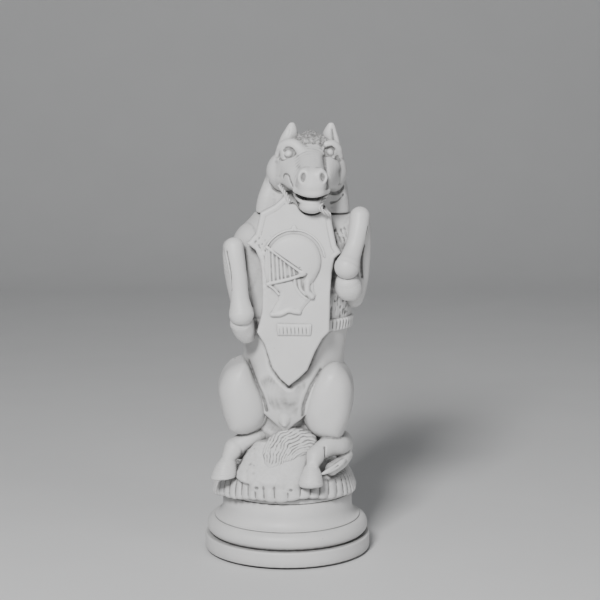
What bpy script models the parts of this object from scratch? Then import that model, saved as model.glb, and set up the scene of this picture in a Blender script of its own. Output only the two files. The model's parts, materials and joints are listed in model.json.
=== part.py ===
"""Giant garden chess knight: a horse that sits up on a turned base and holds a shield.

The figure is a set of resin castings round a foam core. A centre rod clamps it to a turned,
sand-filled base with rubber feet and a screw-in filler plug. Run it with
blender --background --python part.py, or from the text editor.
+Z is up, the horse looks along -Y, and the origin is the middle of the face it stands on.
"""

import math

import bmesh
import bpy
from mathutils import Vector

# ---------------------------------------------------------------- driving sizes, in millimetres
BASE_RADIUS = 115.0  # plinth
WAIST_RADIUS = 90.0  # neck of the turned base
PLINTH_TOP = 84.0  # height of the turned base above the ground
GROUND_RADIUS = 100.0  # widest place of the fringed disc that the horse sits on
GROUND_TOP = 118.0  # height of the disc's upper edge
SHOULDER_WIDTH = 168.0  # figure, across the shoulders
FIGURE_HEIGHT = 482.0  # from the disc's upper edge to the ear tips
SHELL_WALL = 7.0  # torso castings
ROD_RADIUS = 5.0  # centre rod
PIN_RADIUS = 4.0  # dowels of the limbs, neck and shield
PLUG_RADIUS = 13.5  # shank of the filler plug
FOOT_HEIGHT = 3.3  # rubber feet, clear of the plate
SHIELD_THICKNESS = 19.0

CLEARANCE = 0.4  # between castings that touch
PIN_CLEARANCE = 0.4  # round a pin, and past its ends

# sizes that the figure's hand-chosen stations below are written at
DRAWN_WIDTH, DRAWN_GROUND, DRAWN_HEIGHT = 168.0, 118.0, 482.0
WIDTH_SCALE = SHOULDER_WIDTH / DRAWN_WIDTH
HEIGHT_SCALE = FIGURE_HEIGHT / DRAWN_HEIGHT
METRE = 0.001

FINISHES = {
    "cast_resin": ((0.62, 0.615, 0.60), 0.42, 0.0),
    "foam": ((0.72, 0.66, 0.45), 0.9, 0.0),
    "sand": ((0.55, 0.47, 0.34), 0.95, 0.0),
    "black_rubber": ((0.03, 0.03, 0.03), 0.8, 0.0),
    "grey_plastic": ((0.20, 0.20, 0.21), 0.5, 0.0),
    "zinc_steel": ((0.60, 0.60, 0.62), 0.35, 1.0),
}


# ---------------------------------------------------------------- making and cutting solids
def finish_of(slot):
    """The slot's material, made the first time it is asked for."""
    found = bpy.data.materials.get(slot)
    if found:
        return found
    made = bpy.data.materials.new(slot)
    made.use_nodes = True
    colour, roughness, metallic = FINISHES[slot]
    shader = made.node_tree.nodes["Principled BSDF"]
    shader.inputs["Base Color"].default_value = (*colour, 1.0)
    shader.inputs["Roughness"].default_value = roughness
    shader.inputs["Metallic"].default_value = metallic
    return made


def to_object(name, bm, slot="cast_resin"):
    """An object from a bmesh drawn in millimetres, its faces pointing out."""
    bmesh.ops.scale(bm, vec=(METRE, METRE, METRE), verts=bm.verts)
    bmesh.ops.recalc_face_normals(bm, faces=bm.faces)
    mesh = bpy.data.meshes.new(name)
    bm.to_mesh(mesh)
    bm.free()
    mesh.materials.append(finish_of(slot))
    made = bpy.data.objects.new(name, mesh)
    bpy.context.scene.collection.objects.link(made)
    return made


def bridge(bm, lower, upper):
    """Triangles between two rings of the same count, or a fan where one of them is a single point."""
    count = max(len(lower), len(upper))
    for i in range(count):
        j = (i + 1) % count
        if len(lower) == 1:
            bm.faces.new((lower[0], upper[j], upper[i]))
        elif len(upper) == 1:
            bm.faces.new((lower[i], lower[j], upper[0]))
        else:
            bm.faces.new((lower[i], lower[j], upper[j]))
            bm.faces.new((lower[i], upper[j], upper[i]))


def turned(name, profile, slot="cast_resin", sides=40, centre=(0.0, 0.0), rib=None):
    """A solid of revolution about a vertical axis. The profile is a closed loop of (radius, height).

    `rib` is (least radius, depth): every second point outside that radius is set in by that depth.
    """
    bm = bmesh.new()
    rings = []
    for radius, height in profile:
        ring = []
        for i in range(sides if radius > 0 else 1):
            angle = 2 * math.pi * i / sides
            r = radius - rib[1] if rib and i % 2 and radius > rib[0] else radius
            place = (centre[0] + r * math.cos(angle), centre[1] + r * math.sin(angle), height)
            ring.append(bm.verts.new(place))
        rings.append(ring)
    for lower, upper in zip(rings, rings[1:] + rings[:1]):
        if len(lower) > 1 or len(upper) > 1:
            bridge(bm, lower, upper)
    return to_object(name, bm, slot)


def arc(centre, radius, start, end, steps):
    """Points of a circular arc in (radius, height), angles in degrees from +radius towards +height."""
    points = []
    for i in range(steps + 1):
        angle = math.radians(start + (end - start) * i / steps)
        points.append((centre[0] + radius * math.cos(angle), centre[1] + radius * math.sin(angle)))
    return points


def lofted(
    name, stations, grow=0.0, slot="cast_resin", sides=16, domes=(True, True), across=(1, 0, 0), level=False
):
    """A closed limb through stations of (x, y, z, half width, half depth), with domed or flat ends.

    Half width lies along `across`. `grow` makes every size bigger by that much, for a cutter.
    `level` keeps every section horizontal instead of square to the limb.
    """
    centres = [Vector(s[:3]) for s in stations]
    sizes = [Vector((s[3] + grow, s[4] + grow)) for s in stations]
    last = len(centres) - 1
    paths = [(centres[min(i + 1, last)] - centres[max(i - 1, 0)]).normalized() for i in range(last + 1)]
    if level:
        paths = [Vector((0, 0, 1))] * (last + 1)
    centres[0] = centres[0] - paths[0] * grow
    centres[-1] = centres[-1] + paths[-1] * grow
    sections = list(zip(centres, sizes, paths))
    for end, outward in ((0, -1.0), (-1, 1.0)):
        if domes[end]:
            centre, size, path = sections[end]
            reach = 0.8 * min(size)
            cap = [
                (centre + path * outward * reach * math.sin(t), size * math.cos(t), path)
                for t in (math.radians(32), math.radians(62))
            ]
            tip = (centre + path * outward * reach, Vector((0.0, 0.0)), path)
            sections = [tip, *reversed(cap), *sections] if end == 0 else [*sections, *cap, tip]
    bm = bmesh.new()
    rings = []
    for centre, size, path in sections:
        side = Vector(across)
        side = (side - path * side.dot(path)).normalized()
        deep = path.cross(side)
        if size.length == 0:
            rings.append([bm.verts.new(centre)])
            continue
        rings.append([
            bm.verts.new(centre + side * size.x * math.cos(a) + deep * size.y * math.sin(a))
            for a in (2 * math.pi * i / sides for i in range(sides))
        ])
    for lower, upper in zip(rings, rings[1:]):
        bridge(bm, lower, upper)
    for ring in (rings[0], rings[-1]):
        if len(ring) > 1:
            bm.faces.new(ring)
    return to_object(name, bm, slot)


def rod(name, start, end, radius, slot="zinc_steel", sides=12):
    """A straight round bar between two points, with flat ends."""
    start, end = Vector(start), Vector(end)
    across = (1, 0, 0) if abs((end - start).normalized().x) < 0.7 else (0, 0, 1)
    stations = [(*start, radius, radius), (*end, radius, radius)]
    return lofted(name, stations, slot=slot, sides=sides, domes=(False, False), across=across)


def slab(name, outline, front, back, slot="cast_resin"):
    """A plate with an (x, z) outline. front and back give the y of its two faces at a height z."""
    bm = bmesh.new()
    near = [bm.verts.new((x, front(z), z)) for x, z in outline]
    far = [bm.verts.new((x, back(z), z)) for x, z in outline]
    bridge(bm, near, far)
    bm.faces.new(near)
    bm.faces.new(list(reversed(far)))
    bmesh.ops.triangulate(bm, faces=[f for f in bm.faces if len(f.verts) > 4])
    return to_object(name, bm, slot)


def block(name, low, high):
    """A box between two corners, used as a cutter."""
    outline = [(low[0], low[2]), (high[0], low[2]), (high[0], high[2]), (low[0], high[2])]
    return slab(name, outline, lambda z: low[1], lambda z: high[1])


def combine(target, operation, *others):
    """Applies a Boolean of each of `others` to target in turn and removes them."""
    for other in others:
        modifier = target.modifiers.new("combine", "BOOLEAN")
        modifier.operation = operation
        modifier.solver = "EXACT"
        modifier.object = other
        graph = bpy.context.evaluated_depsgraph_get()
        mesh = bpy.data.meshes.new_from_object(target.evaluated_get(graph))
        target.modifiers.clear()
        tidy(mesh)
        target.data = mesh
        bpy.data.objects.remove(other)
    return target


def join(target, *others):
    return combine(target, "UNION", *others)


def cut(target, *others):
    return combine(target, "DIFFERENCE", *others)


def tidy(mesh):
    """Merges doubled points, splits faces of many sides and keeps the body with the most faces."""
    bm = bmesh.new()
    bm.from_mesh(mesh)
    bmesh.ops.remove_doubles(bm, verts=bm.verts, dist=0.000001)
    bmesh.ops.dissolve_degenerate(bm, edges=bm.edges, dist=0.000001)
    left, bodies = set(bm.faces), []
    while left:
        front = [left.pop()]
        body = list(front)
        while front:
            face = front.pop()
            for neighbour in (f for e in face.edges for f in e.link_faces):
                if neighbour in left:
                    left.remove(neighbour)
                    front.append(neighbour)
                    body.append(neighbour)
        bodies.append(body)
    bodies.sort(key=len)
    for body in bodies[:-1]:
        bmesh.ops.delete(bm, geom=body, context="FACES")
    bmesh.ops.delete(bm, geom=[v for v in bm.verts if not v.link_faces], context="VERTS")
    bmesh.ops.triangulate(bm, faces=bm.faces)
    bm.to_mesh(mesh)
    bm.free()


# ---------------------------------------------------------------- the figure's drawing frame
def at(x, y, z):
    """A point of the figure's drawing at its real place."""
    return (x * WIDTH_SCALE, y * WIDTH_SCALE, GROUND_TOP + (z - DRAWN_GROUND) * HEIGHT_SCALE)


def placed(stations):
    return [(*at(*s[:3]), s[3] * WIDTH_SCALE, s[4] * WIDTH_SCALE) for s in stations]


def limb(name, stations, grow=0.0, **options):
    return lofted(name, placed(stations), grow, **options)


# ---------------------------------------------------------------- turned base
PLATE_THICKNESS = 5.7
RECESS_TOP = FOOT_HEIGHT + PLATE_THICKNESS  # ledge in the plinth that the plate bears on
PLATE_RADIUS = BASE_RADIUS - 11.5
CHAMBER_RADIUS = BASE_RADIUS - 21.0
CHAMBER_LOW_TOP = 44.0  # top of the wide part of the ballast chamber
CHAMBER_ROOF = PLINTH_TOP - 8.0
NECK_BORE = WAIST_RADIUS - 12.0  # narrow part of the chamber
SPIGOT_RADIUS = WAIST_RADIUS - 6.0  # raised disc that locates the ground disc
SPIGOT_HEIGHT = 8.0
PLINTH_STEP = 22.0  # top of the square plinth
BEAD_RADIUS = 10.5
BEAD_EQUATOR = BASE_RADIUS - 3.0
ROD_HOLE = ROD_RADIUS + 1.0

POCKET_RADIUS, POCKET_ROOF, POCKET_WALL = 22.0, 16.0, 6.0  # where the lower nut sits
PLUG_Y = 62.0  # filler, towards the back
COLLAR_RADIUS, COLLAR_TOP = PLUG_RADIUS + 8.5, 17.0
PLUG_HEAD_RADIUS, PLUG_HEAD_HEIGHT = PLUG_RADIUS + 5.5, 3.6
PLUG_TOP = 16.0

SCREW_COUNT, SCREW_CIRCLE = 6, BASE_RADIUS - 17.3
SCREW_RADIUS, SCREW_HEAD_RADIUS, SCREW_HEAD, SCREW_TOP = 1.9, 4.0, 2.6, 21.0
FOOT_COUNT, FOOT_CIRCLE, FOOT_RADIUS = 4, BASE_RADIUS - 33.0, 10.0
FOOT_SPIGOT_RADIUS, FOOT_SPIGOT = 5.0, 3.0


def polar(radius, count, index, turn=0.0):
    angle = 2 * math.pi * index / count + turn
    return radius * math.cos(angle), radius * math.sin(angle)


def screw_place(index):
    return polar(SCREW_CIRCLE, SCREW_COUNT, index, math.radians(15))


def foot_place(index):
    return polar(FOOT_CIRCLE, FOOT_COUNT, index, math.radians(45))


def counterbore(centre, wide, step, narrow, top, sides):
    """Cutter for a stepped hole that opens downwards."""
    profile = [(0, 0), (wide, 0), (wide, step), (narrow, step), (narrow, top), (0, top)]
    return turned("hole", profile, sides=sides, centre=centre)


def make_plinth():
    bead_centre = (BEAD_EQUATOR - BEAD_RADIUS, PLINTH_STEP + BEAD_RADIUS)
    shoulder = PLINTH_TOP - SPIGOT_HEIGHT
    sweep = shoulder - 6.0 - (PLINTH_STEP + 2 * BEAD_RADIUS + 2.0)
    foot = BEAD_EQUATOR - BEAD_RADIUS + 1.0
    cavetto = [
        (WAIST_RADIUS + (foot - WAIST_RADIUS) * (1 - math.cos(t)), shoulder - 6.0 - sweep * math.sin(t))
        for t in (math.radians(90 - 18 * i) for i in range(6))
    ]
    profile = [
        (PLATE_RADIUS + CLEARANCE, FOOT_HEIGHT),
        (BASE_RADIUS - 1.5, FOOT_HEIGHT),
        (BASE_RADIUS, FOOT_HEIGHT + 1.5),
        (BASE_RADIUS, PLINTH_STEP - 2.0),
        (BASE_RADIUS - 2.0, PLINTH_STEP),
        *arc(bead_centre, BEAD_RADIUS, -90, 90, 8),
        *cavetto,
        (WAIST_RADIUS, shoulder),
        (SPIGOT_RADIUS, shoulder),
        (SPIGOT_RADIUS, PLINTH_TOP),
        (ROD_HOLE, PLINTH_TOP),
        (ROD_HOLE, CHAMBER_ROOF),
        (NECK_BORE, CHAMBER_ROOF),
        (NECK_BORE, CHAMBER_LOW_TOP + 16.0),
        (CHAMBER_RADIUS, CHAMBER_LOW_TOP),
        (CHAMBER_RADIUS, RECESS_TOP),
        (PLATE_RADIUS + CLEARANCE, RECESS_TOP),
    ]
    plinth = turned("plinth", profile, sides=44)
    holes = [
        rod("hole", (*screw_place(i), RECESS_TOP - 2), (*screw_place(i), SCREW_TOP + 1), SCREW_RADIUS + 0.3)
        for i in range(SCREW_COUNT)
    ]
    return cut(plinth, *holes)


def make_base_plate():
    under, over = FOOT_HEIGHT, RECESS_TOP - CLEARANCE
    pocket_top = POCKET_ROOF + POCKET_WALL
    profile = [
        (POCKET_RADIUS, under),
        (PLATE_RADIUS, under),
        (PLATE_RADIUS, over),
        (POCKET_RADIUS + POCKET_WALL, over),
        (POCKET_RADIUS + POCKET_WALL, pocket_top),
        (ROD_HOLE, pocket_top),
        (ROD_HOLE, POCKET_ROOF),
        (POCKET_RADIUS, POCKET_ROOF),
    ]
    plate = turned("base_plate", profile, "grey_plastic", sides=36)
    collar = rod("collar", (0, PLUG_Y, over - 2), (0, PLUG_Y, COLLAR_TOP), COLLAR_RADIUS, sides=24)
    plate = join(plate, collar)
    seat, seat_top = PLUG_HEAD_RADIUS + CLEARANCE, under + PLUG_HEAD_HEIGHT + 0.9
    holes = [counterbore((0, PLUG_Y), seat, seat_top, PLUG_RADIUS + CLEARANCE, COLLAR_TOP + 2, 24)]
    head = SCREW_HEAD_RADIUS + 0.4
    for i in range(SCREW_COUNT):
        seat = under + SCREW_HEAD + 0.5
        holes.append(counterbore(screw_place(i), head, seat, SCREW_RADIUS + 0.3, over + 2, 12))
    for i in range(FOOT_COUNT):
        x, y = foot_place(i)
        holes.append(rod("hole", (x, y, 0), (x, y, under + FOOT_SPIGOT + 0.4), FOOT_SPIGOT_RADIUS + 0.3))
    return cut(plate, *holes)


def make_ballast():
    gap = CLEARANCE
    low = RECESS_TOP - CLEARANCE + gap
    pocket_radius, pocket_top = POCKET_RADIUS + POCKET_WALL + gap, POCKET_ROOF + POCKET_WALL + gap
    profile = [
        (pocket_radius, low),
        (CHAMBER_RADIUS - gap, low),
        (CHAMBER_RADIUS - gap, CHAMBER_LOW_TOP - gap),
        (NECK_BORE - gap, CHAMBER_LOW_TOP + 16.0 - gap),
        (NECK_BORE - gap, CHAMBER_ROOF - gap),
        (ROD_HOLE, CHAMBER_ROOF - gap),
        (ROD_HOLE, pocket_top),
        (pocket_radius, pocket_top),
    ]
    sand = turned("ballast_sand", profile, "sand", sides=28)
    well = rod("well", (0, PLUG_Y, 0), (0, PLUG_Y, COLLAR_TOP + gap), COLLAR_RADIUS + gap, sides=24)
    return cut(sand, well)


def make_plug():
    """The filler plug with a coin slot, and its seal between head and plate."""
    under = FOOT_HEIGHT + 0.2
    shoulder = under + PLUG_HEAD_HEIGHT - 1.4
    seal_top = FOOT_HEIGHT + PLUG_HEAD_HEIGHT + 0.6
    profile = [
        (0, under),
        (PLUG_HEAD_RADIUS, under),
        (PLUG_HEAD_RADIUS, shoulder),
        (PLUG_RADIUS - 0.8, shoulder),
        (PLUG_RADIUS - 0.8, seal_top + 0.3),
        (PLUG_RADIUS, seal_top + 0.9),
        (PLUG_RADIUS, PLUG_TOP - 1),
        (PLUG_RADIUS - 1, PLUG_TOP),
        (0, PLUG_TOP),
    ]
    plug = turned("filler_plug", profile, "grey_plastic", 24, (0, PLUG_Y))
    cut(plug, block("slot", (-12, PLUG_Y - 1.6, under - 1), (12, PLUG_Y + 1.6, under + 1.4)))
    inner, outer = PLUG_RADIUS - 0.4, PLUG_HEAD_RADIUS - 0.6
    low, high = shoulder + 0.3, seal_top
    seal = [(inner, low), (outer, low), (outer, high), (inner, high)]
    turned("plug_seal", seal, "black_rubber", 24, (0, PLUG_Y))


def make_base_fixings():
    under = FOOT_HEIGHT + 0.3
    screw = [
        (0, under),
        (SCREW_HEAD_RADIUS, under),
        (SCREW_HEAD_RADIUS, under + SCREW_HEAD - 0.3),
        (SCREW_RADIUS, under + SCREW_HEAD - 0.3),
        (SCREW_RADIUS, SCREW_TOP - 2),
        (0, SCREW_TOP),
    ]
    for i in range(SCREW_COUNT):
        turned(f"plate_screw_{i + 1}", screw, "zinc_steel", 10, screw_place(i))
    foot = [
        (0, 0),
        (FOOT_RADIUS - 1, 0),
        (FOOT_RADIUS, 1),
        (FOOT_RADIUS, FOOT_HEIGHT - 0.3),
        (FOOT_SPIGOT_RADIUS, FOOT_HEIGHT - 0.3),
        (FOOT_SPIGOT_RADIUS, FOOT_HEIGHT + FOOT_SPIGOT),
        (0, FOOT_HEIGHT + FOOT_SPIGOT),
    ]
    for i in range(FOOT_COUNT):
        turned(f"rubber_foot_{i + 1}", foot, "black_rubber", 14, foot_place(i))


# ---------------------------------------------------------------- ground disc with its mound
RIB_COUNT, RIB_DEPTH = 34, 2.5  # fringe round the disc's edge
MOUND = [(-3, -6, 104, 72, 80), (-3, -7, 122, 66, 76), (-3, -4, 145, 56, 64), (-3, 0, 164, 50, 56)]


def ground_profile(grow):
    rim = GROUND_RADIUS + grow
    skirt = PLINTH_TOP - SPIGOT_HEIGHT + CLEARANCE - grow
    return [
        (0, PLINTH_TOP + CLEARANCE - grow),
        (SPIGOT_RADIUS + CLEARANCE - grow, PLINTH_TOP + CLEARANCE - grow),
        (SPIGOT_RADIUS + CLEARANCE - grow, skirt),
        (rim - 6, skirt),
        (rim, skirt + 9),
        (rim - 9.5, GROUND_TOP - 2 + grow),
        (rim - 12, GROUND_TOP + grow),
        (0, GROUND_TOP + 2 + grow),
    ]


def mound(grow=0.0):
    return limb("mound", MOUND, grow, sides=20, domes=(False, False), level=True)


def make_ground():
    disc = turned("ground_disc", ground_profile(0.0), sides=2 * RIB_COUNT, rib=(GROUND_RADIUS - 9, RIB_DEPTH))
    bore = rod("bore", (0, 0, PLINTH_TOP - 5), at(0, 0, 200), ROD_HOLE)
    return cut(join(disc, mound()), bore)


def ground_cutters():
    return [turned("ground", ground_profile(CLEARANCE), sides=40), mound(CLEARANCE)]


# ---------------------------------------------------------------- torso: two shells on a foam core
NECK_JOINT = 472.0  # flat joint between torso and neck, height in the drawing
SPLIT_Y = 2.0  # plane between the front and back shells
TORSO = [
    (-2, 16, 136, 44, 50),
    (-2, 14, 160, 56, 60),
    (0, 10, 200, 65, 69),
    (6, 5, 245, 70, 66),
    (10, 1, 285, 70, 59),
    (13, 0, 330, 74, 58),
    (16, 1, 385, 84, 62),
    (18, 3, 430, 85, 60),
    (20, 6, 455, 76, 54),
    (22, 9, NECK_JOINT, 65, 47),
]
GIRTH_LOW, GIRTH_HIGH, GIRTH_PROUD = 313.0, 332.0, 5.0


def torso(grow=0.0, sides=24):
    return limb("torso", TORSO, grow, sides=sides, domes=(False, False), level=True)


def slice_box(name, low, high):
    """A box as wide as the whole figure between two heights of the drawing."""
    return block(name, (-300, -300, at(0, 0, low)[2]), (300, 300, at(0, 0, high)[2]))


def core_solid(grow=0.0):
    wall = SHELL_WALL / WIDTH_SCALE
    stations = [(x, y, z, a - wall, b - wall) for x, y, z, a, b in TORSO]
    inner = limb("core", stations, grow, slot="foam", sides=24, domes=(False, False), level=True)
    top = at(0, 0, NECK_JOINT)[2] - SHELL_WALL + grow
    return cut(inner, block("above", (-300, -300, top), (300, 300, top + 100)))


def make_torso():
    split = SPLIT_Y * WIDTH_SCALE
    halves = {"torso_front": (-300, split - CLEARANCE / 2), "torso_back": (split + CLEARANCE / 2, 300)}
    for name, (low_y, high_y) in halves.items():
        shell = cut(torso(), core_solid(0.0), *ground_cutters())
        shell.name = name
        keep = block("keep", (-300, low_y, 0), (300, high_y, at(0, 0, NECK_JOINT)[2] + 40))
        combine(shell, "INTERSECT", keep)
    core = cut(core_solid(-CLEARANCE), *ground_cutters())
    core.name = "torso_core"
    make_girth()


def make_girth():
    band = torso(GIRTH_PROUD)
    band.name = "girth_band"
    combine(band, "INTERSECT", slice_box("keep", GIRTH_LOW, GIRTH_HIGH))
    return cut(band, torso(CLEARANCE), shield_solid(CLEARANCE))


# ---------------------------------------------------------------- centre rod
ANCHOR_Z, ANCHOR_RADIUS, ANCHOR_THICKNESS = 250.0, 30.0, 4.0
NUT_HEIGHT, NUT_RADIUS, WASHER_RADIUS, WASHER_THICKNESS = 8.0, 9.5, 14.0, 2.0


def anchor_z():
    return at(0, 0, ANCHOR_Z)[2]


def make_centre_rod():
    gap = CLEARANCE
    plate_low = anchor_z()
    plate_high = plate_low + ANCHOR_THICKNESS
    rod_low, rod_high = FOOT_HEIGHT + 1.2, plate_high + NUT_HEIGHT + 4
    washer_low = POCKET_ROOF - gap - WASHER_THICKNESS
    bore = ROD_RADIUS + 0.4
    rod("tie_rod", (0, 0, rod_low), (0, 0, rod_high), ROD_RADIUS)

    def ring(name, low, height, radius, sides):
        made = rod(name, (0, 0, low), (0, 0, low + height), radius, sides=sides)
        cut(made, rod("bore", (0, 0, low - 1), (0, 0, low + height + 1), bore))

    ring("tie_washer", washer_low, WASHER_THICKNESS, WASHER_RADIUS, 18)
    ring("tie_nut_lower", washer_low - gap - NUT_HEIGHT, NUT_HEIGHT, NUT_RADIUS, 6)
    ring("anchor_plate", plate_low, ANCHOR_THICKNESS, ANCHOR_RADIUS, 18)
    ring("tie_nut_upper", plate_high + gap, NUT_HEIGHT, NUT_RADIUS, 6)
    cut(
        bpy.data.objects["torso_core"],
        rod("bore", (0, 0, 0), (0, 0, rod_high + gap), ROD_RADIUS + 0.8),
        rod("seat", (0, 0, plate_low - gap), (0, 0, plate_high + gap), ANCHOR_RADIUS + gap, sides=18),
        rod("seat", (0, 0, plate_high), (0, 0, plate_high + 2 * gap + NUT_HEIGHT), NUT_RADIUS + gap),
    )


# ---------------------------------------------------------------- head, jaw, ears, mane, reins
NECK = [
    (22, 9, NECK_JOINT, 64, 45),
    (23, 12, 495, 59, 46),
    (26, 15, 525, 54, 46),
    (30, 14, 555, 43, 42),
    (32, 8, 572, 27, 30),
]
HEAD = [
    (28, 4, 550, 44, 40),
    (29, -14, 545, 50, 42),
    (30, -34, 541, 43, 35),
    (32, -56, 535, 29, 26),
    (33, -78, 526, 20, 20),
    (33, -92, 520, 19, 17),
]
BROWS = [[(-6, -28, 556, 6, 5), (6, -38, 563, 6.5, 5)], [(68, -34, 557, 6, 5), (56, -44, 564, 6.5, 5)]]
EYES = [[(0, -44, 556, 5, 5), (6, -48, 556, 5, 5)], [(60, -50, 558, 5, 5), (54, -54, 558, 5, 5)]]
NOSTRILS = [[(22, -112, 529, 3, 4), (24, -96, 527, 3, 4)], [(44, -112, 529, 3, 4), (42, -96, 527, 3, 4)]]
JAW = [(29, -28, 506, 24, 14), (31, -52, 500, 21, 12), (33, -76, 492, 17, 11), (34, -84, 490, 14, 9)]
EARS = {
    "ear_right": [(2, -2, 560, 12, 9), (4, -6, 576, 10, 7), (6, -9, 592, 4, 3.5)],
    "ear_left": [(62, -2, 560, 12, 9), (61, -6, 576, 10, 7), (60, -9, 592, 4, 3.5)],
}
MANE = [
    (32, -16, 572, 14, 9),
    (32, 2, 577, 15, 10),
    (32, 28, 572, 15, 13),
    (31, 50, 548, 15, 14),
    (28, 60, 510, 15, 13),
    (25, 56, 470, 14, 12),
    (22, 54, 435, 11, 10),
]
REINS = {
    "rein_right": [(6, -54, 514, 4, 4), (0, -66, 505, 4, 4), (-8, -73, 494, 4, 4)],
    "rein_left": [(56, -58, 514, 4, 4), (52, -70, 500, 4, 4), (46, -80, 488, 4, 4)],
}


def head(grow=0.0):
    details = [limb("detail", stations, grow, sides=10) for stations in BROWS + EYES]
    neck = limb("head_neck", NECK, grow, sides=24, domes=(False, True), level=True)
    return join(neck, limb("skull", HEAD, grow, sides=18), *details)


def jaw(grow=0.0):
    return limb("lower_jaw", JAW, grow, sides=14)


def mane(grow=0.0):
    return limb("mane", MANE, grow, sides=12)


def make_head():
    below_joint = slice_box("below", NECK_JOINT - 60, NECK_JOINT)
    below_joint.location.z += CLEARANCE * METRE
    bpy.context.view_layer.update()
    nostrils = [limb("nostril", stations, sides=8) for stations in NOSTRILS]
    cut(head(), below_joint, torso(CLEARANCE), *nostrils)
    cut(jaw(), head(CLEARANCE), torso(CLEARANCE))
    for name, stations in EARS.items():
        cut(limb(name, stations, sides=12), head(CLEARANCE))
    ears = [limb("ear", stations, CLEARANCE, sides=12) for stations in EARS.values()]
    cut(mane(), head(CLEARANCE), torso(CLEARANCE), *ears)
    for name, stations in REINS.items():
        cut(
            limb(name, stations, sides=8),
            head(CLEARANCE),
            jaw(CLEARANCE),
            torso(CLEARANCE),
            shield_solid(CLEARANCE),
        )


# ---------------------------------------------------------------- shield with its badge and bar
SHIELD_OUTLINE = [
    (2, 245), (14, 255), (27, 266), (37, 292), (48, 311), (57, 319), (57, 372), (61, 402), (64, 418),
    (74, 424), (66, 440), (61, 458), (59, 480), (48, 491), (30, 474), (12, 480), (-2, 502), (-17, 487),
    (-35, 478), (-40, 455), (-54, 436), (-40, 422), (-33, 400), (-33, 362), (-41, 317), (-31, 303),
    (-24, 284), (-22, 271), (-15, 262),
]
SHIELD_TOP_Y, SHIELD_FOOT_Y = -72.0, -81.0  # front face, at the heights below
SHIELD_TOP_Z, SHIELD_FOOT_Z = 480.0, 250.0
RECESS_OUTLINE = [
    (2, 255), (20, 269), (30, 294), (44, 322), (51, 326), (51, 372), (55, 404), (59, 432), (55, 458),
    (52, 478),
    (46, 482), (30, 467), (10, 472), (-2, 490), (-14, 481), (-29, 472), (-33, 450), (-42, 434), (-33, 422),
    (-27, 400), (-27, 362), (-33, 320), (-24, 306), (-18, 288),
]
RECESS_DEPTH = 2.5
VISOR_BARS = [(-23, 421, 8, 397), (-23, 410, 6, 391), (-21, 399, 5, 385), (-17, 388, 5, 379)]  # x, z to x, z
BADGE_PROUD = 3.5
SKULL_CENTRE, SKULL_RADIUS = (8.0, 414.0), 35.0
BADGE_FRONT = [
    (-26, 424), (-25, 396), (-19, 380), (-8, 372), (-16, 357), (-17, 347), (0, 347), (8, 352), (17, 350),
]
BADGE_BACK = [(36, 372), (34, 384)]
BAR_LOW, BAR_HIGH = (-12.0, 315.0), (32.0, 330.0)


def shield_front(z):
    """y of the shield's front face at a drawing height."""
    share = (z - SHIELD_FOOT_Z) / (SHIELD_TOP_Z - SHIELD_FOOT_Z)
    return SHIELD_FOOT_Y + (SHIELD_TOP_Y - SHIELD_FOOT_Y) * share


def on_shield(name, outline, proud, sunk):
    """A plate parallel to the shield: its front is `proud` of the face and its back `sunk` below it."""
    real = [(at(x, 0, z)[0], at(x, 0, z)[2]) for x, z in outline]

    def face(offset):
        return lambda z: shield_front(DRAWN_GROUND + (z - GROUND_TOP) / HEIGHT_SCALE) * WIDTH_SCALE + offset

    return slab(name, real, face(-proud), face(sunk))


def grown_outline(outline, grow):
    """The outline pushed out by grow along the mean of its edges' normals."""
    if grow == 0:
        return outline
    count, out = len(outline), []
    for i, (x, z) in enumerate(outline):
        before, after = outline[i - 1], outline[(i + 1) % count]
        along = Vector((after[0] - before[0], after[1] - before[1])).normalized()
        out.append((x + along.y * grow * 1.6, z - along.x * grow * 1.6))
    return out


def shield_solid(grow=0.0):
    return on_shield("shield", grown_outline(SHIELD_OUTLINE, grow), grow, SHIELD_THICKNESS + grow)


def badge_outline():
    """A closed helmet seen from the side: round skull, pointed visor to the left, flared neck guard."""
    skull = arc(SKULL_CENTRE, SKULL_RADIUS, -35, 155, 14)
    return skull + BADGE_FRONT + BADGE_BACK


def make_shield():
    recess = on_shield("recess", RECESS_OUTLINE, 5, RECESS_DEPTH)
    cut(shield_solid(), recess, torso(CLEARANCE), head(CLEARANCE), jaw(CLEARANCE))
    back = RECESS_DEPTH - CLEARANCE
    badge = on_shield("helmet_badge", badge_outline(), BADGE_PROUD, back)
    for x0, z0, x1, z1 in VISOR_BARS:
        outline = [(x0, z0 - 3), (x1, z1 - 3), (x1, z1 + 2), (x0, z0 + 2)]
        join(badge, on_shield("bar", outline, BADGE_PROUD + 2, 0))
    (x0, z0), (x1, z1) = BAR_LOW, BAR_HIGH
    on_shield("wreath_bar", [(x0, z0), (x1, z0), (x1, z1), (x0, z1)], BADGE_PROUD, back)


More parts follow.
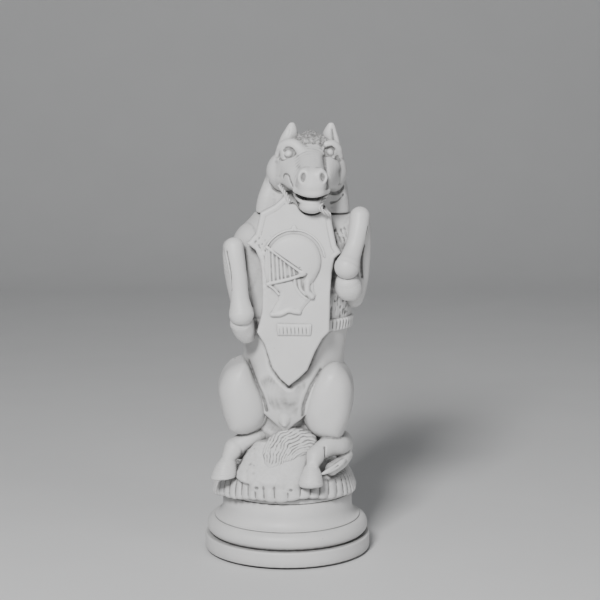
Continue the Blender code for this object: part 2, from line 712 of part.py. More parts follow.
# ---------------------------------------------------------------- legs
FORELEGS = {
    "foreleg_right": (
        [(-50, -18, 330, 15, 16), (-58, -28, 362, 22, 20), (-66, -40, 400, 21, 17), (-72, -52, 424, 14, 14)],
        [(-73, -58, 426, 13, 13), (-71, -66, 408, 12, 12), (-65, -74, 375, 10.5, 11),
         (-62, -78, 345, 15, 14)],
        [(-63, -72, 332, 13, 12), (-59, -60, 316, 17, 15), (-54, -52, 306, 14, 12)],
    ),
    "foreleg_left": (
        [(90, -12, 354, 13, 14), (95, -24, 385, 16, 16), (99, -38, 430, 15, 14), (100, -48, 464, 14, 14)],
        [(99, -54, 466, 14, 13), (95, -63, 448, 13, 13), (87, -74, 424, 12, 12), (80, -80, 402, 16, 15)],
        [(80, -73, 388, 14, 13), (83, -63, 373, 18, 15), (86, -53, 366, 15, 12)],
    ),
}
HIND_LEGS = {
    "hind_leg_right": (
        [(-66, -30, 248, 24, 32), (-65, -32, 232, 28, 40), (-58, -30, 200, 30, 42), (-57, -26, 176, 23, 32)],
        [(-60, -15, 212, 32, 36), (-52, 20, 208, 36, 38), (-42, 42, 200, 26, 28)],
        [(-62, 0, 184, 15, 16), (-64, -2, 138, 15, 16)],
        [(-58, 12, 146, 17, 18), (-68, -14, 144, 16, 16), (-77, -36, 148, 14, 14)],
        [(-82, -46, 141, 11, 10), (-86, -55, 128, 16, 14), (-88, -60, 117, 18, 17)],
    ),
    "hind_leg_left": (
        [(64, -34, 250, 22, 30), (60, -36, 230, 30, 40), (54, -34, 203, 33, 42), (53, -30, 176, 25, 34)],
        [(58, -15, 212, 32, 36), (52, 20, 208, 36, 38), (42, 42, 200, 26, 28)],
        [(66, 0, 184, 15, 16), (66, -4, 138, 15, 16)],
        [(70, 6, 146, 18, 18), (60, -30, 146, 19, 17), (44, -62, 146, 16, 15)],
        [(35, -80, 139, 11, 10), (33, -88, 126, 15, 13), (32, -94, 115, 18, 17)],
    ),
}
TAIL = [(6, -40, 182, 22, 9), (16, -56, 172, 25, 9), (6, -68, 155, 25, 9), (-8, -76, 132, 17, 8)]


def foreleg(stations, grow=0.0):
    forearm, cannon, _ = stations
    return join(limb("foreleg", forearm, grow), limb("cannon", cannon, grow))


def hind_leg(stations, grow=0.0):
    thigh, haunch, shank, foot, _ = stations
    return join(
        limb("hind_leg", thigh, grow),
        limb("haunch", haunch, grow, across=(1, 0, 0)),
        limb("shank", shank, grow, sides=12),
        limb("foot", foot, grow, sides=14),
    )


def make_legs():
    for name, stations in FORELEGS.items():
        leg = foreleg(stations)
        leg.name = name
        band = slice_box("keep", GIRTH_LOW - 1, GIRTH_HIGH + 1)
        girth = combine(torso(GIRTH_PROUD + CLEARANCE), "INTERSECT", band)
        cut(leg, torso(CLEARANCE), shield_solid(CLEARANCE), girth)
        hoof = limb(name.replace("foreleg", "forehoof"), stations[2], sides=14)
        cut(hoof, foreleg(stations, CLEARANCE), torso(CLEARANCE), shield_solid(CLEARANCE))
    for name, stations in HIND_LEGS.items():
        leg = hind_leg(stations)
        leg.name = name
        cut(leg, torso(CLEARANCE), shield_solid(CLEARANCE), *ground_cutters())
        hoof = limb(name.replace("leg", "hoof"), stations[-1], sides=14, domes=(True, False))
        cut(hoof, hind_leg(stations, CLEARANCE), *ground_cutters())
    tail = limb("tail", TAIL, sides=14)
    legs = [hind_leg(stations, CLEARANCE) for stations in HIND_LEGS.values()]
    cut(tail, torso(CLEARANCE), *ground_cutters(), *legs)


# ---------------------------------------------------------------- dowels that hold the castings
# name: start, end, and the castings that are bored for it
PINS = {
    "foreleg_pin_right": ((-24, -14, 356), (-62, -30, 372), ("foreleg_right", "torso_front", "torso_core")),
    "foreleg_pin_left": ((62, -14, 372), (100, -26, 388), ("foreleg_left", "torso_front", "torso_core")),
    "hind_leg_pin_right": ((-28, 22, 204), (-74, 22, 210), ("hind_leg_right", "torso_back", "torso_core")),
    "hind_leg_pin_left": ((28, 22, 204), (74, 22, 210), ("hind_leg_left", "torso_back", "torso_core")),
    "shield_peg_upper": ((10, -68, 450), (10, -36, 450), ("shield", "torso_front", "torso_core")),
    "shield_peg_lower": ((8, -75, 284), (8, -40, 284), ("shield", "torso_front", "torso_core")),
    "neck_dowel_right": ((0, 22, 436), (2, 22, 506), ("head_neck", "torso_back", "torso_core")),
    "neck_dowel_left": ((44, 22, 436), (44, 22, 506), ("head_neck", "torso_back", "torso_core")),
}


def make_pins():
    for name, (start, end, castings) in PINS.items():
        start, end = Vector(at(*start)), Vector(at(*end))
        past = (end - start).normalized() * PIN_CLEARANCE
        rod(name, start, end, PIN_RADIUS)
        for casting in castings:
            cut(bpy.data.objects[casting], rod("bore", start - past, end + past, PIN_RADIUS + PIN_CLEARANCE))


def shade():
    for made in bpy.context.scene.objects:
        if made.type == "MESH":
            made.data.shade_smooth()
            made.data.set_sharp_from_angle(angle=math.radians(35))


def main():
    for old in list(bpy.data.objects):
        bpy.data.objects.remove(old)
    make_plinth()
    make_base_plate()
    make_ballast()
    make_plug()
    make_base_fixings()
    make_ground()
    make_torso()
    make_shield()
    make_head()
    make_legs()
    make_centre_rod()
    make_pins()
    shade()


main()
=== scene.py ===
import json
import math

import bpy
import numpy as np
import openvdb
from mathutils import Euler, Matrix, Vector


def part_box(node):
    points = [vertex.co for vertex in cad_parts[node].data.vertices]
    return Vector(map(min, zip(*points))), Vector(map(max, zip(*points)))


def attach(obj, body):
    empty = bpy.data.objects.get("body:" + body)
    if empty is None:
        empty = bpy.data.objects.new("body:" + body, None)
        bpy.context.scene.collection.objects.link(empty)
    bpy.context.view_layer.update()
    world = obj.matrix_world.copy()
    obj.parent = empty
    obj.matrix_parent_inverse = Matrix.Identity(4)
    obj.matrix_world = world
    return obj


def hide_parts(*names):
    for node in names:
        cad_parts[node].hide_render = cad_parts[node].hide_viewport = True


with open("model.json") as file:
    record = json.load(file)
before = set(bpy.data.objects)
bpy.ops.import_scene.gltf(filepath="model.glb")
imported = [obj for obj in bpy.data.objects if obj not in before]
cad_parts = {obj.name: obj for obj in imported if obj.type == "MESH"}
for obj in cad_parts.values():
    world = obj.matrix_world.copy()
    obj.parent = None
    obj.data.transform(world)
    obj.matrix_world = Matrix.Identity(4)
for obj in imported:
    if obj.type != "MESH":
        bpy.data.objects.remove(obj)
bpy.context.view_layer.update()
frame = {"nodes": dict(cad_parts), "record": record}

# ------------------------------------------------------------------ Studio
# A pale floor that curves up behind the piece, a large soft lamp from the upper left, a weaker
# one from the right, and a long lens a little above the horse's head.
MM = 0.001
CAMERA_PLACE = Vector((0.0, -2.4, 0.725))
CAMERA_AIM = Vector((0.0177, 0.0, 0.350))
LENS = 105.9
FLOOR_TONE = 0.74


class Wiring:
    """Adds nodes to self.tree, each with its settings, values and links in one call."""

    def node(self, kind, inputs=None, **settings):
        made = self.tree.nodes.new(kind)
        for key, value in settings.items():
            setattr(made, key, value)
        for key, value in (inputs or {}).items():
            if isinstance(value, bpy.types.NodeSocket):
                self.tree.links.new(value, made.inputs[key])
            else:
                made.inputs[key].default_value = value
        return made

    def sums(self, operation, a, b):
        return self.node("ShaderNodeMath", {0: a, 1: b}, operation=operation).outputs[0]


class Finish(Wiring):
    """A material's node tree, with one call for each kind of node that the finishes use."""

    def __init__(self, name):
        self.material = bpy.data.materials.new(name)
        self.material.use_nodes = True
        self.tree = self.material.node_tree
        self.shader = self.tree.nodes["Principled BSDF"]
        self.place = self.node("ShaderNodeTexCoord").outputs["Object"]

    def noise(self, scale, detail=4.0, roughness=0.55):
        inputs = {"Vector": self.place, "Scale": scale, "Detail": detail, "Roughness": roughness}
        return self.node("ShaderNodeTexNoise", inputs).outputs["Fac"]

    def band(self, value, low, high, to_low=0.0, to_high=1.0):
        """value taken from low..high to to_low..to_high, and held there outside."""
        inputs = {"Value": value, "From Min": low, "From Max": high, "To Min": to_low, "To Max": to_high}
        return self.node("ShaderNodeMapRange", inputs, clamp=True).outputs["Result"]

    def mix(self, factor, a, b):
        inputs = {"Factor": factor, "A": a, "B": b}
        return self.node("ShaderNodeMix", inputs, data_type="RGBA").outputs["Result"]

    def bump(self, height, distance, strength=1.0, normal=None):
        inputs = {"Height": height, "Distance": distance, "Strength": strength}
        if normal:
            inputs["Normal"] = normal
        return self.node("ShaderNodeBump", inputs).outputs["Normal"]

    def done(self, **inputs):
        """The material, with each named result joined to the shader."""
        for key, value in inputs.items():
            self.tree.links.new(value, self.shader.inputs[key.replace("_", " ")])
        return self.material


def grey(level, warmth=0.0):
    return (level * (1 + warmth), level, level * (1 - warmth), 1.0)


def studio_paint():
    """Matt paint with a faint mottle."""
    finish = Finish("studio_paint")
    finish.shader.inputs["Roughness"].default_value = 0.9
    mottle = finish.noise(6.0, 5.0, 0.5)
    return finish.done(Base_Color=finish.mix(mottle, grey(FLOOR_TONE * 0.97), grey(FLOOR_TONE * 1.03)))


def floor_sweep():
    """A floor that turns up into a wall behind, in one smooth sheet."""
    bend, back, top, half = 1.2, 3.6, 4.4, 5.0
    line = [(-5.0, 0.0), (back - bend, 0.0)]
    line += [
        (back - bend + bend * math.sin(t), bend - bend * math.cos(t))
        for t in (math.radians(6 * i) for i in range(1, 16))
    ]
    line.append((back, top))
    points = [(x, y, z) for y, z in line for x in (-half, half)]
    faces = [(2 * i, 2 * i + 1, 2 * i + 3, 2 * i + 2) for i in range(len(line) - 1)]
    mesh = bpy.data.meshes.new("floor")
    mesh.from_pydata(points, [], faces)
    mesh.shade_smooth()
    mesh.materials.append(studio_paint())
    sheet = bpy.data.objects.new("floor", mesh)
    bpy.context.scene.collection.objects.link(sheet)


def lamp(name, place, aim, width, height, power):
    """A square soft box."""
    light = bpy.data.lights.new(name, "AREA")
    light.shape = "RECTANGLE"
    light.size, light.size_y, light.energy = width, height, power
    made = bpy.data.objects.new(name, light)
    made.location = place
    made.rotation_euler = (Vector(aim) - Vector(place)).to_track_quat("-Z", "Y").to_euler()
    bpy.context.scene.collection.objects.link(made)


def studio_camera():
    lens = bpy.data.cameras.new("camera")
    lens.lens, lens.sensor_width = LENS, 36.0
    lens.clip_start, lens.clip_end = 0.05, 30.0
    made = bpy.data.objects.new("camera", lens)
    made.location = CAMERA_PLACE
    made.rotation_euler = (CAMERA_AIM - CAMERA_PLACE).to_track_quat("-Z", "Y").to_euler()
    bpy.context.scene.collection.objects.link(made)
    bpy.context.scene.camera = made


floor_sweep()
studio_camera()
lamp("key", (-0.7, -2.5, 2.1), (0, 0, 0.32), 0.7, 0.7, 112)
lamp("fill", (2.0, -1.9, 1.2), (0, 0, 0.32), 1.0, 1.0, 11)
lamp("back", (0.8, 1.3, 2.2), (0, 0, 0.4), 1.2, 1.2, 4)
world = bpy.data.worlds.new("sky")
world.use_nodes = True
world.node_tree.nodes["Background"].inputs["Color"].default_value = (0.9, 0.95, 1.0, 1.0)
world.node_tree.nodes["Background"].inputs["Strength"].default_value = 0.08
bpy.context.scene.world = world

# ------------------------------------------------------------------ Turned plinth
# The bottom casting of off-white polyresin: a square-edged foot, a round bead and a hollow
# sweep up to the neck, polished as cast, with painted shade darkening the grooves.
plinth_low, plinth_high = (Vector(corner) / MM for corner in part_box("plinth"))
FOOT_RADIUS = plinth_high.x
NECK_RADIUS = FOOT_RADIUS - 25.0
STEP_HEIGHT, BEAD = 24.0, 12.0
NECK_TOP = plinth_high.z - 0.4
# The third grey is the dark one: it serves both as painted shade in creases and hollows and as the colour of
# the real stain on rough castings.
RESIN_LIGHT, RESIN_MID, SHADE_AND_STAIN_GREY = grey(0.72, 0.008), grey(0.665, 0.008), grey(0.085, 0.02)


def cast_resin(name, grain=1.0, stain=0.0):
    """Satin cast resin: faint clouding, painted shade that darkens creases, hollows and gaps between pieces,
    rubbed edges, pin bubbles and grain.
    stain is how much real dark stain lies on the open surface of a rough casting, in the same dark grey as
    the painted shade."""
    finish = Finish(name)
    cloud = finish.band(finish.noise(22.0, 5.0), 0.30, 0.70)
    body = finish.mix(cloud, RESIN_MID, RESIN_LIGHT)
    relief = finish.node("ShaderNodeAttribute", attribute_name="relief").outputs["Fac"]
    # Painted shade: the ambient occlusion reading darkens the colour in creases, recesses and gaps between
    # pieces, where shade falls.
    crease = finish.node("ShaderNodeAmbientOcclusion", {"Distance": 0.022}, samples=8).outputs["AO"]
    broken = finish.band(finish.noise(190.0, 3.0), 0.30, 0.70, 0.60, 1.0)
    crease_shade = finish.band(crease, 0.80, 0.20, 0.0, 0.88)
    # More painted shade in the piece's own hollows, read from the relief attribute, then broken up by noise.
    fine = finish.band(relief, -0.05, -0.20, 0.0, 0.88)
    shade_and_stain = finish.sums("MULTIPLY", finish.sums("MAXIMUM", crease_shade, fine), broken)
    # A real stain film on the open surface, joined to the painted shade.
    film = finish.band(finish.noise(260.0, 4.0), 0.35, 0.65, 0.35 * stain, stain)
    shade_and_stain = finish.sums("MAXIMUM", shade_and_stain, film)
    worn = finish.mix(finish.band(relief, 0.10, 0.55, 0.0, 0.55), body, grey(0.80, 0.008))
    pits = finish.node("ShaderNodeTexVoronoi", {"Vector": finish.place, "Scale": 150.0, "Randomness": 1.0})
    scatter = finish.band(finish.noise(38.0, 2.0), 0.58, 0.68)
    pit = finish.sums("MULTIPLY", finish.band(pits.outputs["Distance"], 0.14, 0.05), scatter)
    # The colour is pulled towards the dark grey by the painted shade and the real stain.
    colour = finish.mix(shade_and_stain, worn, SHADE_AND_STAIN_GREY)
    colour = finish.mix(finish.sums("MULTIPLY", pit, 0.5), colour, grey(0.24, 0.02))
    dull = finish.sums("ADD", shade_and_stain, finish.band(finish.noise(60.0), 0.3, 0.7, 0.0, 0.3))
    rough = finish.band(dull, 0, 1, 0.40, 0.80)
    waves = finish.bump(finish.noise(45.0, 2.0), 0.0006, 0.25 * grain)
    grains = finish.bump(finish.noise(900.0, 2.0), 0.00016, 0.5 * grain, waves)
    holes = finish.bump(finish.sums("SUBTRACT", 1.0, pit), 0.0004, 0.5, grains)
    finish.shader.inputs["Specular IOR Level"].default_value = 0.45
    return finish.done(Base_Color=colour, Roughness=rough, Normal=holes)


SMOOTH_RESIN = cast_resin("smooth_cast_resin")
ROUGH_RESIN = cast_resin("textured_cast_resin", grain=2.4, stain=0.14)
COMBED_RESIN = cast_resin("combed_cast_resin", grain=2.8, stain=0.85)


def new_mesh(name, points, faces, material):
    """A smooth-shaded object at the origin from points in millimetres and faces of equal size."""
    faces = np.asarray(faces, np.int32)
    mesh = bpy.data.meshes.new(name)
    mesh.vertices.add(len(points))
    mesh.vertices.foreach_set("co", (np.asarray(points, np.float64) * MM).ravel())
    mesh.loops.add(faces.size)
    mesh.loops.foreach_set("vertex_index", faces.ravel())
    mesh.polygons.add(len(faces))
    mesh.polygons.foreach_set("loop_start", np.arange(0, faces.size, faces.shape[1], dtype=np.int32))
    mesh.update(calc_edges=True)
    mesh.shade_smooth()
    mesh.materials.append(material)
    made = bpy.data.objects.new(name, mesh)
    bpy.context.scene.collection.objects.link(made)
    return made


def settle(piece, *nodes, body="figure", slot="cast_resin"):
    """The piece rides on its body and stands for those CAD nodes."""
    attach(piece, body)
    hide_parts(*nodes)


def arc(centre, radius, start, end, steps):
    angles = np.radians(np.linspace(start, end, steps + 1))
    return [(centre[0] + radius * math.cos(a), centre[1] + radius * math.sin(a)) for a in angles]


def turned(name, profile, material, sides=240):
    """A closed ring of (radius, height) points spun about the upright axis."""
    profile = np.array(profile)
    angles = np.linspace(0, 2 * math.pi, sides, endpoint=False)
    rings = [np.column_stack((r * np.cos(angles), r * np.sin(angles), np.full(sides, z))) for r, z in profile]
    faces = []
    for i in range(len(profile)):
        a, b = i * sides, (i + 1) % len(profile) * sides
        faces += [(a + k, a + (k + 1) % sides, b + (k + 1) % sides, b + k) for k in range(sides)]
    return new_mesh(name, np.concatenate(rings), faces, material)


def plinth_profile():
    """From the recess under the foot, up the outside, and back down through the ballast chamber."""
    foot = plinth_low.z
    recess, ledge = FOOT_RADIUS - 11.1, foot + 5.7
    bead_centre = (FOOT_RADIUS - 3.0 - BEAD, STEP_HEIGHT + BEAD)
    sweep_low, sweep_high = STEP_HEIGHT + 2 * BEAD + 2.0, NECK_TOP - 18.0
    sweep_foot = bead_centre[0] + 1.0
    sweep_out, sweep_rise = sweep_foot - NECK_RADIUS, sweep_high - sweep_low
    sweep = [
        (NECK_RADIUS + sweep_out * (1 - math.cos(t)), sweep_high - sweep_rise * math.sin(t))
        for t in np.radians(np.linspace(90, 0, 19))
    ]
    chamber, roof, bore = FOOT_RADIUS - 21.0, plinth_high.z - 8.0, 6.0
    outside = [
        (recess, foot + 0.5), (recess + 0.5, foot), (FOOT_RADIUS - 2.0, foot),
        *arc((FOOT_RADIUS - 1.6, foot + 1.6), 1.6, -90, 0, 5),
        *arc((FOOT_RADIUS - 2.2, STEP_HEIGHT - 2.2), 2.2, 0, 90, 6),
        (bead_centre[0] + 1.6, STEP_HEIGHT - 0.4), (bead_centre[0] + 0.6, STEP_HEIGHT - 0.4),
        *arc(bead_centre, BEAD, -84, 86, 28),
        (bead_centre[0] + 0.2, sweep_low - 2.4), (bead_centre[0] + 0.2, sweep_low - 1.4),
        *arc((sweep_foot - 0.9, sweep_low - 0.9), 0.9, -90, 0, 4),
        *sweep,
        (NECK_RADIUS, NECK_TOP - 0.6), (NECK_RADIUS - 0.6, NECK_TOP),
    ]
    inside = [
        (NECK_RADIUS - 4.0, plinth_high.z), (bore, plinth_high.z), (bore, roof),
        (NECK_RADIUS - 12.0, roof), (NECK_RADIUS - 12.0, 60.0), (chamber, 44.0), (chamber, ledge),
        (recess, ledge),
    ]
    return outside + inside


settle(turned("plinth_casting", plinth_profile(), SMOOTH_RESIN), "plinth")

# ------------------------------------------------------------------ Ground disc with its fringe
# The second casting: a round of lumpy earth with a pleated, ragged fringe hanging over the
# neck of the plinth, and a smooth mound at the front that the tail lies on.
FAR = 7.0  # distances beyond this many millimetres are not worked out
GROUND_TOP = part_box("hind_leg_right")[0][2] / MM - 10.0
disc_low, disc_high = (Vector(corner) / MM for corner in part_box("ground_disc"))
PLEATS = 46
EDGE_RADIUS, HEM, DISC_SHIFT = disc_high.x + 0.5, 91.0, -4.0
PLINTH_SEAT = plinth_high.z + 0.6  # the disc's underside, just clear of the plinth's top
MOUND_OUTLINE = [
    (-63, 112), (-62, 136), (-49, 156), (-31, 172), (-14, 183), (10, 182), (36, 174), (41, 160), (34, 146),
    (28, 134), (24, 112),
]


def blend_min(a, b, width):
    """The nearer of two distances, rounded where they meet."""
    if width <= 0:
        return np.minimum(a, b)
    overlap = np.maximum(width - np.abs(a - b), 0) / width
    return np.minimum(a, b) - overlap * overlap * width / 4


class Clay:
    """A block of modelling clay: distances to its surface in millimetres, on a grid of small cubes."""

    def __init__(self, low, high, cube):
        self.low, self.high, self.cube = np.array(low, float), np.array(high, float), cube
        counts = np.ceil((self.high - self.low) / cube).astype(int) + 1
        self.field = np.full(counts, FAR, np.float32)
        self.axes = [self.low[i] + cube * np.arange(counts[i], dtype=np.float32) for i in range(3)]

    def window(self, low, high, margin=FAR):
        """The part of the grid round a box, and the coordinates of its cubes."""
        spans = tuple(
            slice(int(np.searchsorted(axis, a - margin)), int(np.searchsorted(axis, b + margin)))
            for axis, a, b in zip(self.axes, low, high)
        )
        grid = np.meshgrid(*(axis[span] for axis, span in zip(self.axes, spans)), indexing="ij", sparse=True)
        return spans, grid

    def add(self, shape, blend=3.0):
        low, high, distance = shape
        spans, grid = self.window(low, high)
        self.field[spans] = blend_min(self.field[spans], distance(*grid), blend)
        return self

    def cut(self, shape, blend=2.0):
        low, high, distance = shape
        spans, grid = self.window(low, high)
        self.field[spans] = -blend_min(-self.field[spans], distance(*grid), blend)
        return self

    def keep(self, shape, blend=1.0):
        """Cuts away what is outside the shape."""
        grid = np.meshgrid(*self.axes, indexing="ij", sparse=True)
        self.field = (-blend_min(-self.field, -shape[2](*grid), blend)).astype(np.float32)
        return self

    def swell(self, low, high, amount):
        """Moves the surface out by amount(x, y, z) inside a box."""
        spans, grid = self.window(low, high, 0.0)
        self.field[spans] -= amount(*grid)
        return self

    def uneven(self, height, size, seed):
        """Leaves the whole surface a little uneven, as a master modelled by hand is."""
        return self.swell(self.low, self.high, lambda x, y, z: height * lumps(x, y, z, size, seed))

    def front(self, x, z):
        """y where a line from straight ahead first meets the clay."""
        i, k = round((x - self.low[0]) / self.cube), round((z - self.low[2]) / self.cube)
        column = self.field[i, :, k]
        j = max(int(np.argmax(column < 0)), 1)
        return self.low[1] + self.cube * (j - 1 + column[j - 1] / (column[j - 1] - column[j]))

    def groove(self, route, radius, depth, blend=1.5):
        """Draws a round-bottomed groove along (x, z) places on the front of the clay."""
        places = smooth_route(route, 4)
        stations = [(x, self.front(x, z) - radius + depth, z, radius) for x, z in places]
        return self.cut(limb(stations, 1), blend)

    def dent(self, route, width, depth):
        """Presses a soft valley along (x, z) places into the front of the clay."""
        places = smooth_route(route, 4)
        low, high = places.min(axis=0) - 2.5 * width, places.max(axis=0) + 2.5 * width

        def valley(x, y, z):
            gap = line_gap(places, x[:, :, 0], z[0])[:, None, :]
            return -depth * np.exp(-((gap / width) ** 2)) * slope_between(-y, 0, 14)

        return self.swell((low[0], self.low[1], low[1]), (high[0], 2.0, high[1]), valley)

    def sample(self, field, points):
        """Values of a field at points, read between the cubes."""
        place = np.clip((points - self.low) / self.cube, 0, np.array(field.shape) - 1.001)
        cell = place.astype(int)
        part = place - cell
        total = np.zeros(len(points), np.float32)
        for corner in np.ndindex(2, 2, 2):
            weight = np.prod(np.where(corner, part, 1 - part), axis=1)
            total += weight * field[tuple((cell + corner).T)]
        return total

    def relief(self, points):
        """How far the surface stands out (above 0) or is hollow (below 0) against its surroundings."""
        total = np.zeros(len(points), np.float32)
        for reach in (1.6, 3.6):
            steps = max(1, round(reach / self.cube))
            width = 2 * steps + 1
            soft = np.clip(self.field, -FAR, FAR)
            for axis in range(3):
                edges = [(steps + 1, steps) if i == axis else (0, 0) for i in range(3)]
                running = np.cumsum(np.pad(soft, edges, mode="edge"), axis=axis, dtype=np.float64)
                count = soft.shape[axis]
                ahead = np.take(running, np.arange(width, width + count), axis=axis)
                behind = np.take(running, np.arange(count), axis=axis)
                soft = ((ahead - behind) / width).astype(np.float32)
            total += self.sample(soft, points) / reach
        return total

    def cast(self, name, material):
        """The clay's surface as an object."""
        for axis in range(3):
            rim = np.moveaxis(self.field, axis, 0)
            rim[0], rim[-1] = FAR, FAR
        grid = openvdb.FloatGrid(FAR)
        grid.copyFromArray(self.field)
        points, quads = grid.convertToQuads(0.0)
        points = self.low + np.asarray(points, float) * self.cube
        corners = points[quads]
        turn = np.cross(corners[:, 2] - corners[:, 0], corners[:, 3] - corners[:, 1])
        if np.einsum("ij,ij->", corners.mean(axis=1), turn) < 0:
            quads = quads[:, ::-1]
        made = new_mesh(name, points, quads, material)
        store = made.data.attributes.new("relief", "FLOAT", "POINT")
        store.data.foreach_set("value", self.relief(points))
        return made


def turning(degrees):
    return np.array(Euler([math.radians(a) for a in degrees]).to_matrix())


def ball(centre, radii, turn=(0, 0, 0)):
    """An egg shape: centre, half sizes, and turns about x, y and z in degrees."""
    centre, radii = np.array(centre, float), np.array(radii, float) * np.ones(3)
    spin = turning(turn)
    reach = np.sqrt(((spin * radii) ** 2).sum(axis=1))

    def distance(x, y, z):
        p = [x - centre[0], y - centre[1], z - centre[2]]
        local = [p[0] * spin[0, i] + p[1] * spin[1, i] + p[2] * spin[2, i] for i in range(3)]
        near = np.sqrt(sum((local[i] / radii[i]) ** 2 for i in range(3)))
        slope = np.sqrt(sum((local[i] / radii[i] ** 2) ** 2 for i in range(3)))
        return near * (near - 1) / np.maximum(slope, 1e-6)

    return centre - reach, centre + reach, distance


def smooth_route(points, steps):
    """More points between given ones, on a curve that passes through them all."""
    points = np.array(points, float)
    if len(points) < 3 or steps < 2:
        return points
    ends = np.concatenate(([2 * points[0] - points[1]], points, [2 * points[-1] - points[-2]]))
    route = []
    for i in range(len(points) - 1):
        a, b, c, d = ends[i : i + 4]
        for t in np.arange(steps) / steps:
            bend = (2 * a - 5 * b + 4 * c - d) * t**2 + (3 * b - a - 3 * c + d) * t**3
            route.append(0.5 * (2 * b + (c - a) * t + bend))
    return np.array([*route, points[-1]])


def smooth_loop(points, steps=4):
    """A closed outline rounded through given points."""
    points = np.array(points, float)
    return smooth_route(np.concatenate((points[-1:], points, points[:2])), steps)[steps : -steps - 1]


def limb(stations, steps=4, flat=(1, 1, 1)):
    """A round limb through (x, y, z, radius). flat shrinks its thickness along x, y or z."""
    route = smooth_route(stations, steps)
    flat = np.array(flat, float)
    reach = (route[:, 3] * np.ones((3, 1))).T
    low, high = (route[:, :3] - reach).min(axis=0), (route[:, :3] + reach).max(axis=0)
    places, radii = route[:, :3], route[:, 3]

    def distance(x, y, z):
        best = None
        for a, b, ra, rb in zip(places, places[1:], radii, radii[1:]):
            along = b - a
            span = max(along @ along, 1e-9)
            t = np.clip(((x - a[0]) * along[0] + (y - a[1]) * along[1] + (z - a[2]) * along[2]) / span, 0, 1)
            gap = np.sqrt(
                ((x - a[0] - t * along[0]) / flat[0]) ** 2
                + ((y - a[1] - t * along[1]) / flat[1]) ** 2
                + ((z - a[2] - t * along[2]) / flat[2]) ** 2
            )
            piece = (gap - (ra + t * (rb - ra))) * flat.min()
            best = piece if best is None else np.minimum(best, piece)
        return best

    return low, high, distance


def lumps(x, y, z, size, seed):
    """Smooth random heights from -1 to 1, with a new one every `size` millimetres."""
    table = np.random.default_rng(seed).uniform(-1, 1, (32, 32, 32)).astype(np.float32)
    cells, parts = [], []
    for value in (x, y, z):
        place = np.asarray(value) / size + 1000.0
        cell = np.floor(place).astype(int)
        part = (place - cell).astype(np.float32)
        cells.append(cell)
        parts.append(part * part * (3 - 2 * part))
    total = 0.0
    for i, j, k in np.ndindex(2, 2, 2):
        weight = 1.0
        for part, step in zip(parts, (i, j, k)):
            weight = weight * (part if step else 1 - part)
        total = total + weight * table[(cells[0] + i) % 32, (cells[1] + j) % 32, (cells[2] + k) % 32]
    return total


def slope_between(value, low, high):
    """0 below low, 1 above high, and a soft step between."""
    t = np.clip((value - low) / (high - low), 0, 1)
    return t * t * (3 - 2 * t)


def line_gap(places, x, z):
    """Distance in the plane from (x, z) to an open line."""
    best = np.full(np.broadcast(x, z).shape, 1e9)
    for (ax, az), (bx, bz) in zip(places, places[1:]):
        ex, ez = bx - ax, bz - az
        t = np.clip(((x - ax) * ex + (z - az) * ez) / (ex * ex + ez * ez), 0, 1)
        best = np.minimum(best, np.hypot(x - ax - t * ex, z - az - t * ez))
    return best


def outline_gap(outline, x, z):
    """Distance in the plane from (x, z) to an outline, below 0 inside it."""
    loop = np.array([*outline, outline[0]], float)
    gap = line_gap(loop, x, z)
    inside = np.zeros(gap.shape, bool)
    for (ax, az), (bx, bz) in zip(loop, loop[1:]):
        rise = bz - az if abs(bz - az) > 1e-9 else 1e-9
        inside ^= ((az > z) != (bz > z)) & (x < ax + (bx - ax) * (z - az) / rise)
    return np.where(inside, -gap, gap)


def carved_plate(outline, face, back, edge=2.0):
    """A plate between y = face(x, z) and y = back(x, z), with its edges rounded by `edge`."""
    outline = np.array(outline, float)
    low = np.array((outline[:, 0].min(), -104.0, outline[:, 1].min()))
    high = np.array((outline[:, 0].max(), 4.0, outline[:, 1].max()))

    def distance(x, y, z):
        side = outline_gap(outline, x[:, :, 0], z[0])[:, None, :]
        gap = -blend_min(-side, -(face(x, z) - y), edge * 2)
        return -blend_min(-gap, -(y - back(x, z)), 1.0)

    return low, high, distance


def ground_round(x, y, z):
    """The disc: a rolled edge gathered in pleats, with a wavy hem that hangs over the neck."""
    radius, angle = np.sqrt((x - DISC_SHIFT) ** 2 + y * y), np.arctan2(y, x - DISC_SHIFT)
    droop = 6.5 * np.cos(angle) ** 2 + 3.5 * slope_between(-np.cos(angle), 0.4, 1.0)
    hem = HEM - droop + 1.6 * np.sin(5 * angle + 1.0) + 1.1 * np.sin(9 * angle + 0.4)
    rise = np.clip((z - hem) / (GROUND_TOP - hem), 0, 1.1)
    roll = EDGE_RADIUS - 12.0 * rise**1.4 - 4.0 * (1 - np.minimum(rise * 5, 1)) ** 2
    lean = 0.05 * np.sin(3 * angle + 0.6) + 0.02 * np.sin(7 * angle + 2.0) + 0.09 * np.sin(2 * angle) * rise
    pleat = np.abs(np.sin(PLEATS * (angle + lean) / 2)) ** 0.55
    depth = (3.4 + 1.2 * lumps(12 * angle, 0 * z, 0 * z, 1.0, 2)) * slope_between(1.12 - rise, 0.0, 0.2)
    side = (radius - roll - depth * (pleat - 0.7)) * 0.8
    top = z - (GROUND_TOP - 0.5)
    body = -blend_min(-side, -top, 6.0)
    return -blend_min(-body, -(hem - z + 0.8 * (1 - pleat)), 3.0)


def everywhere(low, high, distance):
    return np.array(low, float), np.array(high, float), distance


def under(height):
    """All that is lower than a height, for Clay.keep."""
    return None, None, lambda x, y, z: (z - height) + 0 * x + 0 * y


def over(height):
    """All that is higher than a height, for Clay.keep."""
    return None, None, lambda x, y, z: (height - z) + 0 * x + 0 * y


def under_seat(x, y, z):
    """The recess that sits over the top of the plinth."""
    return np.maximum(np.sqrt(x * x + y * y) - (NECK_RADIUS + 1.0), z - PLINTH_SEAT)


